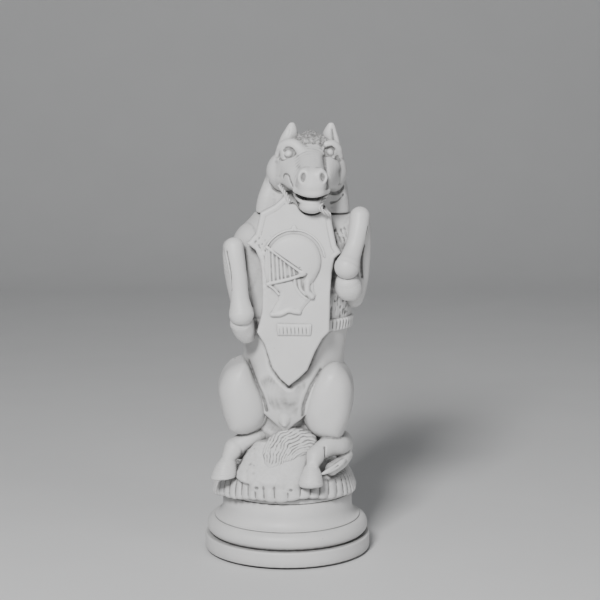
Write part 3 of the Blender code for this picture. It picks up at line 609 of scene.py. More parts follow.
def neck_collar(x, y, z):
    """The thick middle of the disc, which carries it on the plinth."""
    return np.maximum(np.maximum(np.sqrt(x * x + y * y) - NECK_RADIUS + 0.5, PLINTH_SEAT - z), z - 105.0)


def mound_face(z):
    """y of the smooth front of the mound, which leans back."""
    return -91.0 + 0.60 * (z - 118.0)


def make_ground():
    clay = Clay((-106, -106, disc_low.z - 2), (106, 106, disc_high.z + 4), 1.15)
    clay.add(everywhere((-106, -106, disc_low.z), (106, 106, GROUND_TOP + 4), ground_round), 0.0)
    clay.add(limb([(-3, -2, 118, 60), (-3, 2, 140, 54), (-3, 6, 158, 46)], flat=(1, 1, 0.8)), 8.0)

    def mound_front(x, z):
        hollow = 1.6 * np.exp(-(((x + 20) / 14) ** 2)) * slope_between(z, 122, 140)
        return mound_face(z) + hollow + 0.0036 * x**2

    outline = smooth_loop(MOUND_OUTLINE)
    clay.add(carved_plate(outline, mound_front, lambda x, z: mound_face(z) + 46.0, 4.0), 3.0)
    clay.add(everywhere((-92, -92, PLINTH_SEAT), (92, 92, 106), neck_collar), 3.0)
    for x, z in ((-42, 107), (4.6, 106)):
        face = clay.front(x, z)
        clay.add(ball((x, face + 3.5, z), (7.5, 5, 6)), 4.0)
        clay.cut(ball((x, face - 2.5, z), (3.2, 3.4, 2.2)), 1.5)

    def rubble(x, y, z):
        away = slope_between(np.abs(y - mound_face(z)), 4, 9) * (z > GROUND_TOP - 3)
        return 0.8 * lumps(x, y, z, 5.0, 4) * away + 0.25 * lumps(x, y, z, 8.0, 3)

    clay.swell((-106, -106, 84), (106, 106, disc_high.z + 4), rubble)
    clay.keep(under(disc_high.z - 0.5))
    clay.cut(everywhere((-86, -86, 60), (86, 86, PLINTH_SEAT + 2), under_seat), 0.0)
    settle(clay.cast("ground_casting", ROUGH_RESIN), "ground_disc")


make_ground()

# ------------------------------------------------------------------ Torso
# Two shell castings glued round the foam core and filled flush, so they read as one body: a
# deep chest, a waist where the girth sits, a round belly and heavy haunches.
TORSO = [
    # height, centre x and y, half width and half depth
    (136, -2, 16, 44, 50),
    (160, -2, 14, 56, 60),
    (200, 0, 10, 65, 69),
    (245, 6, 5, 70, 66),
    (285, 10, 1, 70, 59),
    (330, 13, 0, 74, 58),
    (385, 16, 1, 84, 62),
    (430, 18, 3, 85, 60),
    (455, 20, 6, 76, 54),
    (472, 22, 9, 65, 47),
]
COLLAR = 472.0  # height of the seam between torso and neck


def stack(stations, grow=0.0):
    """A body with level oval sections at (height, centre x, centre y, half width, half depth)."""
    table = smooth_route(stations, 6)
    heights = table[:, 0]
    low = (table[:, 1] - table[:, 3] - grow).min(), (table[:, 2] - table[:, 4] - grow).min(), heights[0]
    high = (table[:, 1] + table[:, 3] + grow).max(), (table[:, 2] + table[:, 4] + grow).max(), heights[-1]

    def distance(x, y, z):
        cx, cy, a, b = (np.interp(z, heights, table[:, i]) for i in range(1, 5))
        a, b = a + grow, b + grow
        near = np.sqrt(((x - cx) / a) ** 2 + ((y - cy) / b) ** 2)
        slope = np.sqrt(((x - cx) / a**2) ** 2 + ((y - cy) / b**2) ** 2)
        side = near * (near - 1) / np.maximum(slope, 1e-6)
        caps = np.maximum(heights[0] - z, z - heights[-1])
        return -blend_min(-side, -caps, 2.0)

    return np.array(low), np.array(high), distance


def hair(x, y, z, spacing, seed):
    """Wavy upright furrows, 0 at a ridge and 1 at the bottom of a furrow."""
    sway = 2.5 * lumps(x, y, z * 0.4, 9.0, seed)
    return 0.5 + 0.5 * np.sin(2 * math.pi * (x + 0.6 * y + sway) / spacing)


def make_torso():
    """Body and haunches, then the hollows under the belly, the drawn creases and the coat."""
    clay = Clay((-80, -76, 130), (114, 92, 480), 1.65)
    clay.add(stack(TORSO), 0.0)
    clay.add(ball((4, -26, 232), (56, 42, 62)), 14.0)
    for x, lean in ((-44, 8), (46, -8)):
        clay.add(ball((x, 34, 205), (42, 44, 56), (0, lean, 0)), 14.0)
    for shoulder in (
        ball((-42, -14, 404), (34, 40, 56), (0, -8, 0)),
        ball((76, -12, 412), (30, 38, 58), (0, 6, 0)),
    ):
        clay.add(shoulder, 12.0)
    knob = [(-3, -54, 204, 8), (-4, -60, 196, 5), (-4, -62, 189, 3.4)]
    behind_shield = ball((12, -18, 330), (48, 38, 100))
    clay.add(ball((-2, -48, 206), (20, 12, 18)), 8.0)
    clay.add(limb(knob), 5.0)
    clay.add(behind_shield, 16.0)
    for hollow in (
        [(-36, -52, 191, 11), (-24, -56, 179, 12), (-12, -59, 171, 10)],
        [(32, -52, 193, 11), (20, -56, 181, 12), (6, -59, 171, 10)],
    ):
        clay.cut(limb(hollow), 3.0)
    for crease in (
        [(-41, 314), (-32, 300), (-26.5, 285), (-21.5, 269), (-10, 254), (2, 244)],
        [(58, 317), (48.5, 307), (38.5, 290), (28.5, 266), (15.5, 254), (2, 244)],
        [(-54, 268), (-44, 246), (-34, 226), (-29, 208)],
        [(46, 262), (32, 240), (23, 216), (22, 200)],
    ):
        clay.groove(crease, 3.0, 2.6, 3.0)
    spine = [(20, 70, 455, 7), (16, 74, 380, 8), (11, 72, 310, 7), (3, 84, 230, 6)]
    clay.cut(limb(spine), 16.0)

    def chest_hair(x, y, z):
        """Rough coat on the chest, in the strip beside the shield."""
        here = slope_between(x, 50, 60) * (1 - slope_between(x, 78, 90)) * slope_between(-y, 8, 26)
        here = here * slope_between(z, 318, 340) * (1 - slope_between(z, 446, 462))
        return -0.9 * here * hair(x, y, z, 6.0, 5) + 1.3 * here * lumps(x, y, z, 4.5, 6)

    clay.swell((46, -76, 310), (100, 0, 466), chest_hair)
    clay.uneven(0.5, 26.0, 7)
    clay.keep(under(COLLAR), 3.5)
    settle(clay.cast("torso_casting", SMOOTH_RESIN), "torso_front", "torso_back")


make_torso()

# ------------------------------------------------------------------ Girth
# A separate strip casting glued round the waist, pleated upright like webbing under strain.
GIRTH_LOW, GIRTH_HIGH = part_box("girth_band")[0][2] / MM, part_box("girth_band")[1][2] / MM
GIRTH_PLEATS = 62


def girth_round(x, y, z):
    angle = np.arctan2((y - 1) / 58, (x - 12) / 74)
    pleat = np.abs(np.sin(GIRTH_PLEATS * (angle + 0.015 * np.sin(9 * angle)) / 2)) ** 0.7
    around = stack(TORSO, 2.8)[2](x, y, z) - 2.3 * pleat
    edge = np.abs(z - (GIRTH_LOW + GIRTH_HIGH) / 2) - (GIRTH_HIGH - GIRTH_LOW) / 2 + 1.0
    return -blend_min(-around, -edge, 4.0)


def make_girth():
    clay = Clay((-72, -70, GIRTH_LOW - 3), (98, 72, GIRTH_HIGH + 3), 0.9)
    clay.add(everywhere((-70, -68, GIRTH_LOW), (96, 70, GIRTH_HIGH), girth_round), 0.0)
    clay.cut(stack(TORSO, -3.0), 0.5)
    settle(clay.cast("girth_casting", SMOOTH_RESIN), "girth_band")


make_girth()

# ------------------------------------------------------------------ Hind legs
# Each is one casting, pinned to the haunch: a heavy egg-shaped thigh, the shank folded under
# it, and a pastern that ends in a separate hoof set on the edge of the ground.
THIGH_RIGHT = [
    (-72, 268), (-84, 258), (-91, 244), (-93, 230), (-89, 208), (-84, 190), (-76, 175), (-58, 172),
    (-42, 178), (-31, 190), (-28, 206), (-33, 226), (-44, 246), (-56, 270),
]
THIGH_LEFT = [
    (66, 270), (80, 259), (88, 242), (89.5, 226), (86, 200), (80, 180), (72, 166), (56, 165),
    (40, 169), (28, 180), (22, 196), (22, 214), (32, 240), (48, 264),
]


def thigh(outline, centre, front):
    """The crowned front of a thigh, true to its outline."""
    cx, cz = centre

    def crown(x, z):
        return front + 9.0 * ((x - cx) / 32) ** 2 + 7.0 * ((z - cz) / 50) ** 2

    return carved_plate(smooth_loop(outline), crown, lambda x, z: 16.0 + 0 * x, 11.0)


def make_hind_leg_right():
    clay = Clay((-106, -86, 116), (-8, 72, 282), 1.15)
    clay.add(thigh(THIGH_RIGHT, (-62, 224), -72.0), 0.0)
    clay.add(ball((-47, 14, 212), (42.5, 58, 48)), 22.0)
    clay.add(limb([
        (-36, -30, 168, 13), (-46, -36, 166, 13.5), (-60, -42, 160, 13), (-72, -46, 153, 13.5),
    ]), 2.0)
    clay.add(limb([(-44, 26, 150, 20), (-54, 0, 148, 18), (-62, -24, 148, 16), (-72, -42, 150, 13)]), 6.0)
    clay.add(limb([(-74, -50, 151, 12.8), (-79, -54, 142, 10), (-82, -57, 134, 8.5)]), 3.0)
    clay.cut(limb([(-64, -60, 160, 1.4), (-61, -58, 152, 1.6), (-62, -52, 143, 1.6)], 3), 2.5)
    clay.uneven(0.35, 18.0, 8)
    settle(clay.cast("hind_leg_right_casting", SMOOTH_RESIN), "hind_leg_right")


def make_hind_leg_left():
    clay = Clay((8, -94, 116), (106, 72, 286), 1.15)
    clay.add(thigh(THIGH_LEFT, (56, 220), -74.0), 0.0)
    clay.add(ball((45, 14, 212), (41.5, 58, 48)), 22.0)
    clay.add(limb([
        (74, -2, 152, 14), (76, -24, 152, 13.5), (70, -46, 156, 14), (56, -58, 158, 14),
        (42, -72, 153, 11.5),
    ]), 3.0)
    clay.add(limb([(62, 26, 150, 20), (72, 4, 148, 18), (74, -16, 148, 16)]), 6.0)
    clay.add(ball((38, -76, 149), (12.5, 11.5, 12)), 3.0)
    clay.add(limb([(37, -79, 146, 10.5), (34, -86, 138, 8.5), (33, -88, 132, 8)]), 3.0)
    clay.cut(limb([(50, -76, 160, 1.2), (49, -78, 150, 1.6), (50, -72, 141, 1.6)], 3), 2.5)
    clay.uneven(0.35, 18.0, 9)
    leaf = [
        (46, -87, 126, 1.6), (54, -84, 129, 3.2), (64, -77, 132.5, 4.2), (73, -68, 136.5, 4.0),
        (78, -60, 139.5, 2.6),
    ]
    clay.add(limb(leaf, flat=(1, 0.8, 1)), 1.0)
    clay.add(limb([(60, -66, 128, 9), (74, -50, 134, 9), (80, -34, 140, 10)]), 3.0)
    clay.cut(limb([(48, -91, 126.5, 0.7), (63, -82, 132.5, 0.9), (77, -64.5, 139, 0.7)], 3), 1.0)
    clay.keep(over(GROUND_TOP - 1), 1.0)
    settle(clay.cast("hind_leg_left_casting", SMOOTH_RESIN), "hind_leg_left")


def make_hoof(name, node, stations, flat, sole_point, sole_down, rounding, cube=0.7):
    """A blunt horn cap that widens to the sole, with a soft edge and faint growth rings."""
    places = np.array(stations, float)
    low, high = places[:, :3].min(axis=0) - 24, places[:, :3].max(axis=0) + 24
    clay = Clay(low, high, cube)
    clay.add(limb(stations, 4, flat), 0.0)
    down = np.array(sole_down, float) / np.linalg.norm(sole_down)

    def below(x, y, z):
        return (x - sole_point[0]) * down[0] + (y - sole_point[1]) * down[1] + (z - sole_point[2]) * down[2]

    clay.keep((None, None, below), rounding)
    clay.swell(low, high, lambda x, y, z: 0.15 * np.sin(below(x, y, z) * 2.1) + 0.3 * lumps(x, y, z, 8.0, 10))
    settle(clay.cast(name, SMOOTH_RESIN), node)


make_hind_leg_right()
make_hind_leg_left()
make_hoof(
    "hind_hoof_right_casting", "hind_hoof_right",
    [(-81.5, -56, 132.5, 12.2), (-84, -59, 124, 15.5), (-86.5, -62, 113, 18)], (1, 0.9, 1),
    (-88, -60, 113.5), (0.08, -0.05, -1), 4.5,
)
make_hoof(
    "hind_hoof_left_casting", "hind_hoof_left",
    [(33, -86, 131, 10.5), (32.5, -89, 123.5, 13.8), (31.5, -93, 114, 16.8)], (1, 0.9, 1),
    (32, -94, 109.5), (0.02, -0.10, -1), 6.0,
)

# ------------------------------------------------------------------ Tail
# A thin casting laid over the mound: a sheaf of wavy strands that comes from under the belly,
# sweeps across to the horse's right and turns down.
FAN = (26.0, 136.0)  # middle of the arcs that the strands follow, x and height


TAIL_OUTLINE = [
    (-3, 181), (14, 182), (30, 178), (41, 168), (38, 156), (28, 150), (18, 147), (9, 142), (-2, 138),
    (-12, 133), (-24, 131), (-31, 136), (-34, 148), (-32, 160), (-24, 169), (-14, 176),
]


def tail_strands(x, y, z):
    """Furrows along arcs about the fan's middle, deeper towards the root."""
    radius = np.hypot(x - FAN[0], z - FAN[1])
    sway = 2.2 * lumps(x, y, z, 11.0, 11) + 0.9 * lumps(x, y, z, 4.5, 21)
    furrow = 0.5 + 0.5 * np.cos(2 * math.pi * (radius + sway) / 3.9)
    fade = slope_between(z + 0.35 * x, 112, 140)
    return -(1.0 + 0.5 * lumps(x, y, z, 9.0, 24)) * fade * furrow + 0.35 * lumps(x, y, z, 3.0, 12)


def make_tail():
    clay = Clay((-40, -98, 126), (42, -36, 190), 0.8)

    def tail_face(x, z):
        swell = 2.2 * np.exp(-(((z - 158 - 0.2 * x) / 16) ** 2))
        return mound_face(z) + 0.0036 * x**2 - 2.4 - swell + 2.6 * slope_between(150 - z, 0, 20)

    clay.add(carved_plate(smooth_loop(TAIL_OUTLINE), tail_face, lambda x, z: mound_face(z) + 10.0, 3.0), 0.0)
    clay.swell(clay.low, clay.high, tail_strands)
    settle(clay.cast("tail_casting", ROUGH_RESIN), "tail")


make_tail()

# ------------------------------------------------------------------ Forelegs
# Pinned on at the shoulders and folded as on a rearing horse: forearm up and forward, cannon
# hanging from the knee to a round fetlock, hoof tucked back under it.
def make_foreleg(name, node, low, high, forearm, cannon, folds, creases, seed):
    """A leg down to its fetlock, with folds cut at the joints and creases drawn on the front."""
    clay = Clay(low, high, 1.0)
    clay.add(limb(forearm), 0.0)
    clay.add(limb(cannon), 3.0)
    for fold in folds:
        clay.cut(limb(fold), 3.0)
    for crease in creases:
        clay.groove(crease, 1.6, 2.6, 2.0)
    clay.uneven(0.35, 15.0, seed)
    settle(clay.cast(name, SMOOTH_RESIN), node)


make_foreleg(
    "foreleg_right_casting", "foreleg_right", (-102, -104, 296), (-20, 10, 456),
    [
        (-46, -14, 318, 18), (-56, -22, 350, 20), (-65, -32, 388, 19), (-72, -44, 414, 14.5),
        (-74, -52, 430, 12),
    ],
    [
        (-71, -62, 431, 13.4), (-69, -66, 418, 12.8), (-65, -71, 392, 11.6), (-63, -75, 366, 12),
        (-61.5, -77, 350, 15), (-61, -78, 344, 16.8),
    ],
    [
        [(-42, -44, 420, 2.0), (-41, -46, 380, 2.4), (-40, -46, 345, 2.0)],
        [(-80, -70, 334, 1.8), (-62, -84, 328.5, 1.8), (-44, -72, 334, 1.8)],
    ],
    [
        [(-80.5, 426), (-77, 410), (-75, 396), (-74.5, 376)],
        [(-51, 424), (-50, 400), (-48.5, 380), (-45.5, 356)],
    ],
    13,
)
make_foreleg(
    "foreleg_left_casting", "foreleg_left", (48, -106, 330), (118, 14, 494),
    [
        (82, -8, 402, 19), (88, -20, 366, 13), (92, -26, 356, 11.5), (98, -30, 384, 12.5),
        (101, -38, 425, 12.2), (100.6, -46, 458, 12),
    ],
    [
        (97.5, -54, 471, 13.6), (95.5, -60, 455, 13.2), (90, -67, 434, 11.8), (83.5, -74, 417, 13.6),
        (79.5, -79, 407, 16.9),
    ],
    [
        [(62, -72, 391.5, 1.8), (80, -84, 388, 1.8), (97, -70, 393, 1.8)],
    ],
    [[(108, 458), (104, 440), (100.5, 424), (99.5, 404), (101, 388)]],
    14,
)
make_hoof(
    "forehoof_right_casting", "forehoof_right",
    [(-60.5, -68, 329, 15.4), (-57.5, -62, 319, 14.4), (-53.5, -57, 309, 10)], (1.05, 1, 1),
    (-53, -58, 301), (0.25, 0.35, -1), 4.0,
)
make_hoof(
    "forehoof_left_casting", "forehoof_left",
    [(80.5, -70, 384, 15.5), (82, -66, 377, 17.4), (85, -62, 371, 15)], (1.05, 0.95, 1),
    (84, -62, 358.8), (0.20, 0.30, -1), 8.0,
)

# ------------------------------------------------------------------ Shield
# A heater with cusped corners, cast on its own and pegged to the chest. Its face is a little
# crowned, and a soft rim runs round the upper edges.
SHIELD_OUTLINE = [
    (2, 245.5), (15, 255.5), (27, 267), (37, 291), (47, 309), (56.5, 319), (57, 345), (57.5, 372), (60, 398),
    (64, 417), (73, 424), (66, 434), (63, 447), (60, 462), (58.5, 476), (49, 489), (43, 493), (34, 488),
    (20, 486), (7, 491), (-3, 500.5), (-17, 488), (-35, 478.5), (-38, 466), (-42, 450), (-53.5, 437),
    (-42, 428), (-36, 414), (-33.5, 398), (-33, 372), (-34, 345), (-40.5, 318), (-31, 303), (-25, 286),
    (-20, 270), (-9, 255),
]
SHIELD_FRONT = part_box("shield")[0][1] / MM


def shield_face(z):
    """y of the shield's face: it leans back a little towards the top."""
    return SHIELD_FRONT + 9.0 * (z - 250.0) / 230.0


def make_shield():
    clay = Clay((-62, -92, 238), (82, -44, 510), 0.95)

    def face(x, z):
        gap = -outline_gap(SHIELD_OUTLINE, x[:, :, 0], z[0])[:, None, :]
        crown = 2.2 * (1 - ((x - 10) / 60) ** 2) - 1.0
        upper = slope_between(z, 395, 430)
        rim = 0.6 * np.exp(-(((gap - 3.2) / 2.8) ** 2)) - 0.22 * np.exp(-(((gap - 7.6) / 1.6) ** 2))
        rim = rim * (1 - slope_between(x, -4, 4) * slope_between(54 - x, -4, 4) * slope_between(z, 466, 476))
        beside = slope_between(-x, 14, 26) * slope_between(z, 350, 380) * slope_between(456 - z, 0, 16)
        rough = (0.45 * lumps(x, 0 * x, z, 4.2, 16) + 0.3 * lumps(x, 0 * x, z, 2.2, 25)) * beside
        rough = rough + 0.35 * lumps(x, 0 * x, z, 15.0, 22)
        low_rim = 0.15 * slope_between(x, 20, 40) * rim
        return shield_face(z) + 1.4 - crown - upper * rim - (1 - upper) * low_rim - rough

    clay.add(carved_plate(SHIELD_OUTLINE, face, lambda x, z: shield_face(z) + 17.0), 0.0)
    clay.cut(limb([
        (29, -28, 503, 18.5), (30, -50, 495, 16.5), (32, -70, 488, 14), (33, -86, 487, 12),
    ], flat=(1.25, 1, 0.95)), 2.0)
    clay.cut(ball((33, -86, 477), (16, 9, 7)), 6.0)
    clay.cut(stack(TORSO, -1.0), 1.0)
    settle(clay.cast("shield_casting", SMOOTH_RESIN), "shield")


make_shield()

# ------------------------------------------------------------------ Helmet badge and wreath
# A closed tilting helmet in low relief that looks to the horse's right: round skull, a visor
# of upright bars between two ribs that meet at the pivot, and a flared neck guard. The bar
# under it is a short moulded roll with upright furrows.
SKULL, SKULL_RADIUS = (9.0, 414.5), 36.0


def helmet_outline():
    skull = arc(SKULL, SKULL_RADIUS, -20, 150, 22)
    visor = [
        (-27, 435), (-29.5, 420), (-31, 405), (-29, 394), (-26, 385), (-19, 379), (-11, 372), (-12, 362),
        (-19, 350),
    ]
    guard = [
        (-23, 340), (-10, 340), (1, 345), (9, 343), (17, 342.5), (24, 353), (31, 361), (39, 368), (36, 374),
        (35, 386),
    ]
    return skull + visor + guard


def make_helmet():
    outline = helmet_outline()
    clay = Clay((-40, -100, 332), (54, -66, 464), 0.62)

    def visor_line(x, z):
        """Above 0 over the upper visor bar."""
        return (z - 435.0) + 0.70 * (x + 28.0)

    def face(x, z):
        gap = -outline_gap(outline, x[:, :, 0], z[0])[:, None, :]
        plate = 1.6 + 1.6 * slope_between(gap, 0, 6)
        round_off = (x - SKULL[0]) ** 2 + (z - SKULL[1]) ** 2
        height = np.sqrt(np.clip(1 - round_off / (SKULL_RADIUS + 2) ** 2, 0, 1))
        over = slope_between(visor_line(x, z), -3, 3) * slope_between(z, 378, 398)
        dome = 7.0 * height * np.maximum(over, slope_between(x, 18, 30) * slope_between(z, 372, 392))
        return shield_face(z) - plate - dome

    clay.add(carved_plate(outline, face, lambda x, z: shield_face(z) + 1.5, 1.4), 0.0)

    def on_face(x, z, proud):
        return (x, float(shield_face(z)) - proud, z)

    def ridge(points, radius, blend=1.4, steps=4):
        clay.add(limb([(*on_face(x, z, proud), radius) for x, z, proud in points], steps), blend)

    halo = arc(SKULL, SKULL_RADIUS + 5.0, 8, 150, 16)
    ridge([(x, z, 0.2) for x, z in halo], 1.3, 1.2, 1)
    ridge([(7.0, 455.5, 0.6), (9.4, 460.5, 0.5), (11.5, 455.5, 0.6)], 1.7)
    for x in (-23.5, -18.5, -12.8, -7.8, -2.8, 3.7, 9.4):
        top, foot = 432.0 - 0.71 * (x + 26) - 1.5, 384.5 + 0.26 * (x + 25) + 1.0
        ridge([(x - 0.8, top, 3.2), (x + 0.8, foot, 3.2)], 1.25, 1.0, 1)
    ridge([(-27.5, 433.5, 3.6), (-12, 422.5, 5.2), (4, 410.5, 6.4), (18, 400.5, 7.0)], 1.9)
    ridge([(-26, 384, 3.4), (-10, 387.5, 4.0), (5, 391.5, 5.0), (19, 396.5, 6.6)], 2.1)
    clay.add(ball(on_face(20.5, 399, 7.0), (5.0, 3.0, 4.4)), 2.0)
    clay.cut(ball(on_face(16.6, 406.5, 10.6), (2.0, 2.0, 1.2)), 1.0)
    ridge([(10, 391, 3.2), (11, 381, 3.0), (17, 371, 3.0), (25, 364, 3.0)], 1.5)
    ridge([(16, 388, 3.4), (17.5, 378, 3.2), (24, 370, 3.2)], 1.4)
    ridge([(27, 386, 4.0), (27, 374, 4.6), (33, 367, 3.4)], 3.4, 3.0)
    ridge([(-25, 383, 3.0), (-17, 377, 3.0), (-11, 370, 3.0)], 1.6)
    ridge([(-20, 343, 2.2), (-9, 343.5, 2.4), (2, 348, 2.6), (10, 346.5, 2.6), (16, 346, 2.4)], 2.6, 3.0)
    clay.cut(ball(on_face(-2, 357, 4.6), (2.6, 1.6, 1.0)), 1.0)
    settle(clay.cast("helmet_casting", SMOOTH_RESIN), "helmet_badge")


make_helmet()


def make_wreath():
    """A moulded roll: a bar with rounded edges, gathered by shallow upright furrows."""
    low, high = (Vector(corner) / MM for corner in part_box("wreath_bar"))
    clay = Clay((low.x - 6, low.y - 4, low.z - 5), (high.x + 5, high.y + 4, high.z + 5), 0.5)
    outline = [(low.x - 1, low.z - 1), (high.x, low.z - 1.5), (high.x + 1, high.z), (low.x - 2, high.z + 1)]
    middle = (low.z + high.z) / 2

    def roll_face(x, z):
        crown = 1.1 * ((z - middle) / (middle - low.z)) ** 2
        furrow = (0.5 + 0.5 * np.cos(2 * math.pi * (x + 0.06 * (z - middle)) / 5.1)) ** 3
        return low.y - 0.6 + crown + 0.9 * furrow * slope_between(high.z - z, -2, 9)

    clay.add(carved_plate(outline, roll_face, lambda x, z: high.y - 0.4 + 0 * x, 1.6), 0.0)
    settle(clay.cast("wreath_casting", SMOOTH_RESIN), "wreath_bar")


make_wreath()

# ------------------------------------------------------------------ Head and neck
# One casting, dowelled to the torso at the collar. A broad forehead with arched brows over
# bulging eyes, round cheeks, a straight nose and a square muzzle with the lip curled up.
NECK = [
    (472.4, 22, 9, 64, 45),
    (485, 22, 10, 63, 46),
    (500, 24, 12, 60, 46),
    (515, 25, 14, 56, 46),
    (535, 28, 15, 50, 45),
    (555, 30, 14, 42, 40),
    (572, 32, 8, 27, 30),
]


def make_head():
    """Built up from neck to muzzle, then the lines and hollows are cut, and the mouth last."""
    clay = Clay((-52, -114, 468), (96, 66, 592), 0.95)
    clay.add(stack(NECK), 0.0)
    for muscle in (
        [(-27, -10, 470, 16), (-25, -10, 492, 14.5), (-16, -4, 520, 12)],
        [(69, -12, 470, 16), (68, -10, 492, 14.5), (62, -4, 520, 12)],
    ):
        clay.add(limb(muscle), 5.0)
    for throat in (
        [(-14, -40, 466, 10), (-16, -36, 488, 9), (-12, -34, 499, 7)],
        [(58, -44, 466, 10), (60, -40, 486, 9), (62, -36, 496, 6)],
    ):
        clay.cut(limb(throat), 3.0)
    skull = ball((31, -12, 550), (43, 33, 24), (-8, 0, 0))
    nose = [(31, -24, 548, 24), (31, -48, 543, 20), (32, -70, 535, 17), (33, -88, 527, 15.5)]
    clay.add(skull, 6.0)
    clay.add(limb(nose, flat=(1.1, 1, 0.95)), 9.0)
    for cheek in (
        ball((-1, -18, 529), (27, 26, 28), (0, 14, 0)),
        ball((55, -19, 530), (26, 26, 30), (0, -10, 0)),
    ):
        clay.add(cheek, 6.0)
    for side_of_face in (
        [(4, -40, 536, 17), (14, -62, 528, 14), (22, -80, 522, 10)],
        [(2, -40, 522, 15), (10, -58, 518, 12), (18, -76, 515, 9)],
        [(57, -42, 536, 15), (50, -62, 528, 13), (44, -82, 522, 10)],
        [(60, -36, 520, 14), (54, -56, 518, 11), (48, -76, 515, 9)],
    ):
        clay.add(limb(side_of_face), 8.0)
    muzzle = ball((33.5, -90, 517), (20, 15, 14))
    lip = [
        (12, -80, 509.5, 4.5), (22, -93, 507, 5), (33.5, -97, 506, 5.4), (44, -94, 507, 5),
        (53, -80, 509.5, 4.5),
    ]
    clay.add(muzzle, 5.0)
    clay.add(limb(lip), 4.0)
    for side, x, lean in ((-1, 21.5, 10), (1, 46, -12)):
        nostril = ball((x, -96, 528.5), (9.2, 8.5, 11.5), (0, lean, 0))
        opening = ball((x + side * 0.8, -107.5, 527.5), (5.0, 8.5, 9.4), (0, lean, 0))
        clay.add(nostril, 4.0)
        clay.cut(opening, 1.6)
    brow_right = [
        (-11, -27, 555, 4.5), (-6.5, -33, 563, 6.4), (2.5, -38, 567, 7.4), (12, -43, 565, 7),
        (20, -50, 557, 5),
    ]
    brow_left = [
        (53, -44, 567, 4), (58, -42, 567.5, 5), (63, -39, 565.5, 5.6), (68, -35, 560, 5.6),
        (70, -30, 552, 5),
    ]
    clay.add(limb(brow_right), 6.0)
    clay.add(limb(brow_left), 6.0)
    for x, z, out, wide in ((2.8, 554.5, -1, 1.0), (57, 556.4, 1, 0.85)):
        swelling = ball((x, clay.front(x, z) + 6, z), (11 * wide, 8, 10))
        clay.add(swelling, 4.0)
        face = clay.front(x, z)
        socket = ball((x, face - 2.6, z + 0.4), (8.0 * wide, 5.0, 7.0))
        eyeball = ball((x, face + 3.8, z - 0.6), (6.2 * wide, 6.0, 6.0))
        clay.cut(socket, 2.5)
        clay.add(eyeball, 0.6)
        lid = [(out * 7, 4), (out * 2, 7.5), (-out * 5, 6), (-out * 8.5, 0.5)]
        clay.groove([(x + dx * wide, z + dz) for dx, dz in lid], 1.3, 1.0, 2.0)
        corner = [(out * 4.5, -6.5), (out * 9, -8), (out * 13, -6.5)]
        clay.groove([(x + dx * wide, z + dz) for dx, dz in corner], 1.2, 1.5)
    for route, radius, depth in (
        ([(-26.5, 520.5), (-22, 511.5), (-17.6, 506), (-12, 502), (-7, 501.5)], 2.2, 3.2),
        ([(55.7, 501), (63.5, 499.5), (71.3, 501.8), (77.5, 508)], 2.2, 2.6),
        ([(-5.2, 524), (-4, 528.5), (1.5, 528), (3.6, 521.5), (7, 514)], 1.3, 1.5),
        ([(60, 487), (69, 490), (77, 498)], 2.2, 0.6),
    ):
        clay.groove(route, radius, depth)
    for route, width, depth in (
        ([(49.5, 550), (50, 543), (51.5, 530), (53.5, 512)], 4.0, 2.0),
        ([(15, 538), (12, 530), (13, 520)], 6.0, 0.9),
        ([(68, 545), (71, 530), (71, 514)], 5.0, 1.8),
        ([(-14, 542), (-12, 526)], 6.0, 1.2),
    ):
        clay.dent(route, width, depth)
    for behind_jaw in (
        [(-17, -44, 497, 9), (-19, -44, 486, 12), (-18, -44, 474, 11)],
        [(57, -50, 494, 10), (66, -48, 490, 12), (62, -50, 478, 9)],
    ):
        clay.cut(limb(behind_jaw), 4.0)
    mouth = [(31, -50, 499, 17), (32, -72, 496, 17), (33, -90, 491, 16)]
    clay.cut(limb(mouth, flat=(1.1, 1, 0.52)), 2.0)
    for hollow, blend in (
        ([(-4, -60, 486, 10), (4, -62, 492, 8), (12, -66, 494, 8)], 2.0),
        ([(50, -64, 494, 8), (60, -62, 484, 10)], 2.0),
        ([(-18, -34, 478, 7), (-19, -33, 492, 7)], 3.0),
        ([(62, -40, 478, 6), (61, -40, 492, 6)], 3.0),
    ):
        clay.cut(limb(hollow, 1), blend)
    clay.uneven(0.3, 13.0, 17)
    clay.keep(over(COLLAR + 0.2), 4.0)
    settle(clay.cast("head_casting", SMOOTH_RESIN), "head_neck")


def make_jaw():
    """The lower jaw, glued in under the head: chin, lip and the tongue between."""
    clay = Clay((-4, -98, 470), (66, -18, 516), 0.7)
    clay.add(limb([
        (29, -28, 503, 17), (30, -50, 495, 15), (32, -70, 489, 12.5), (33, -80, 488, 10),
    ], flat=(1.25, 1, 0.9)), 0.0)
    lip = [
        (9.5, -56, 503, 2.0), (12.5, -70, 498, 2.0), (19, -82, 494.5, 2.2), (32, -88, 493, 2.3),
        (42, -84, 494.5, 2.2), (47.5, -72, 498, 2.0), (52, -58, 503, 2.0),
    ]
    clay.add(ball((32, -79, 487), (14.5, 10.5, 7.8)), 5.0)
    clay.cut(limb([(31, -44, 506, 12), (32, -64, 501, 11), (33, -78, 497, 8)], flat=(1.1, 1, 0.8)), 2.0)
    clay.add(limb(lip), 3.0)
    clay.add(limb([(31, -44, 500, 8), (32, -62, 496, 8), (33, -76, 493, 6)], flat=(1.2, 1, 0.6)), 1.5)
    clay.uneven(0.25, 9.0, 18)
    settle(clay.cast("jaw_casting", SMOOTH_RESIN), "lower_jaw")


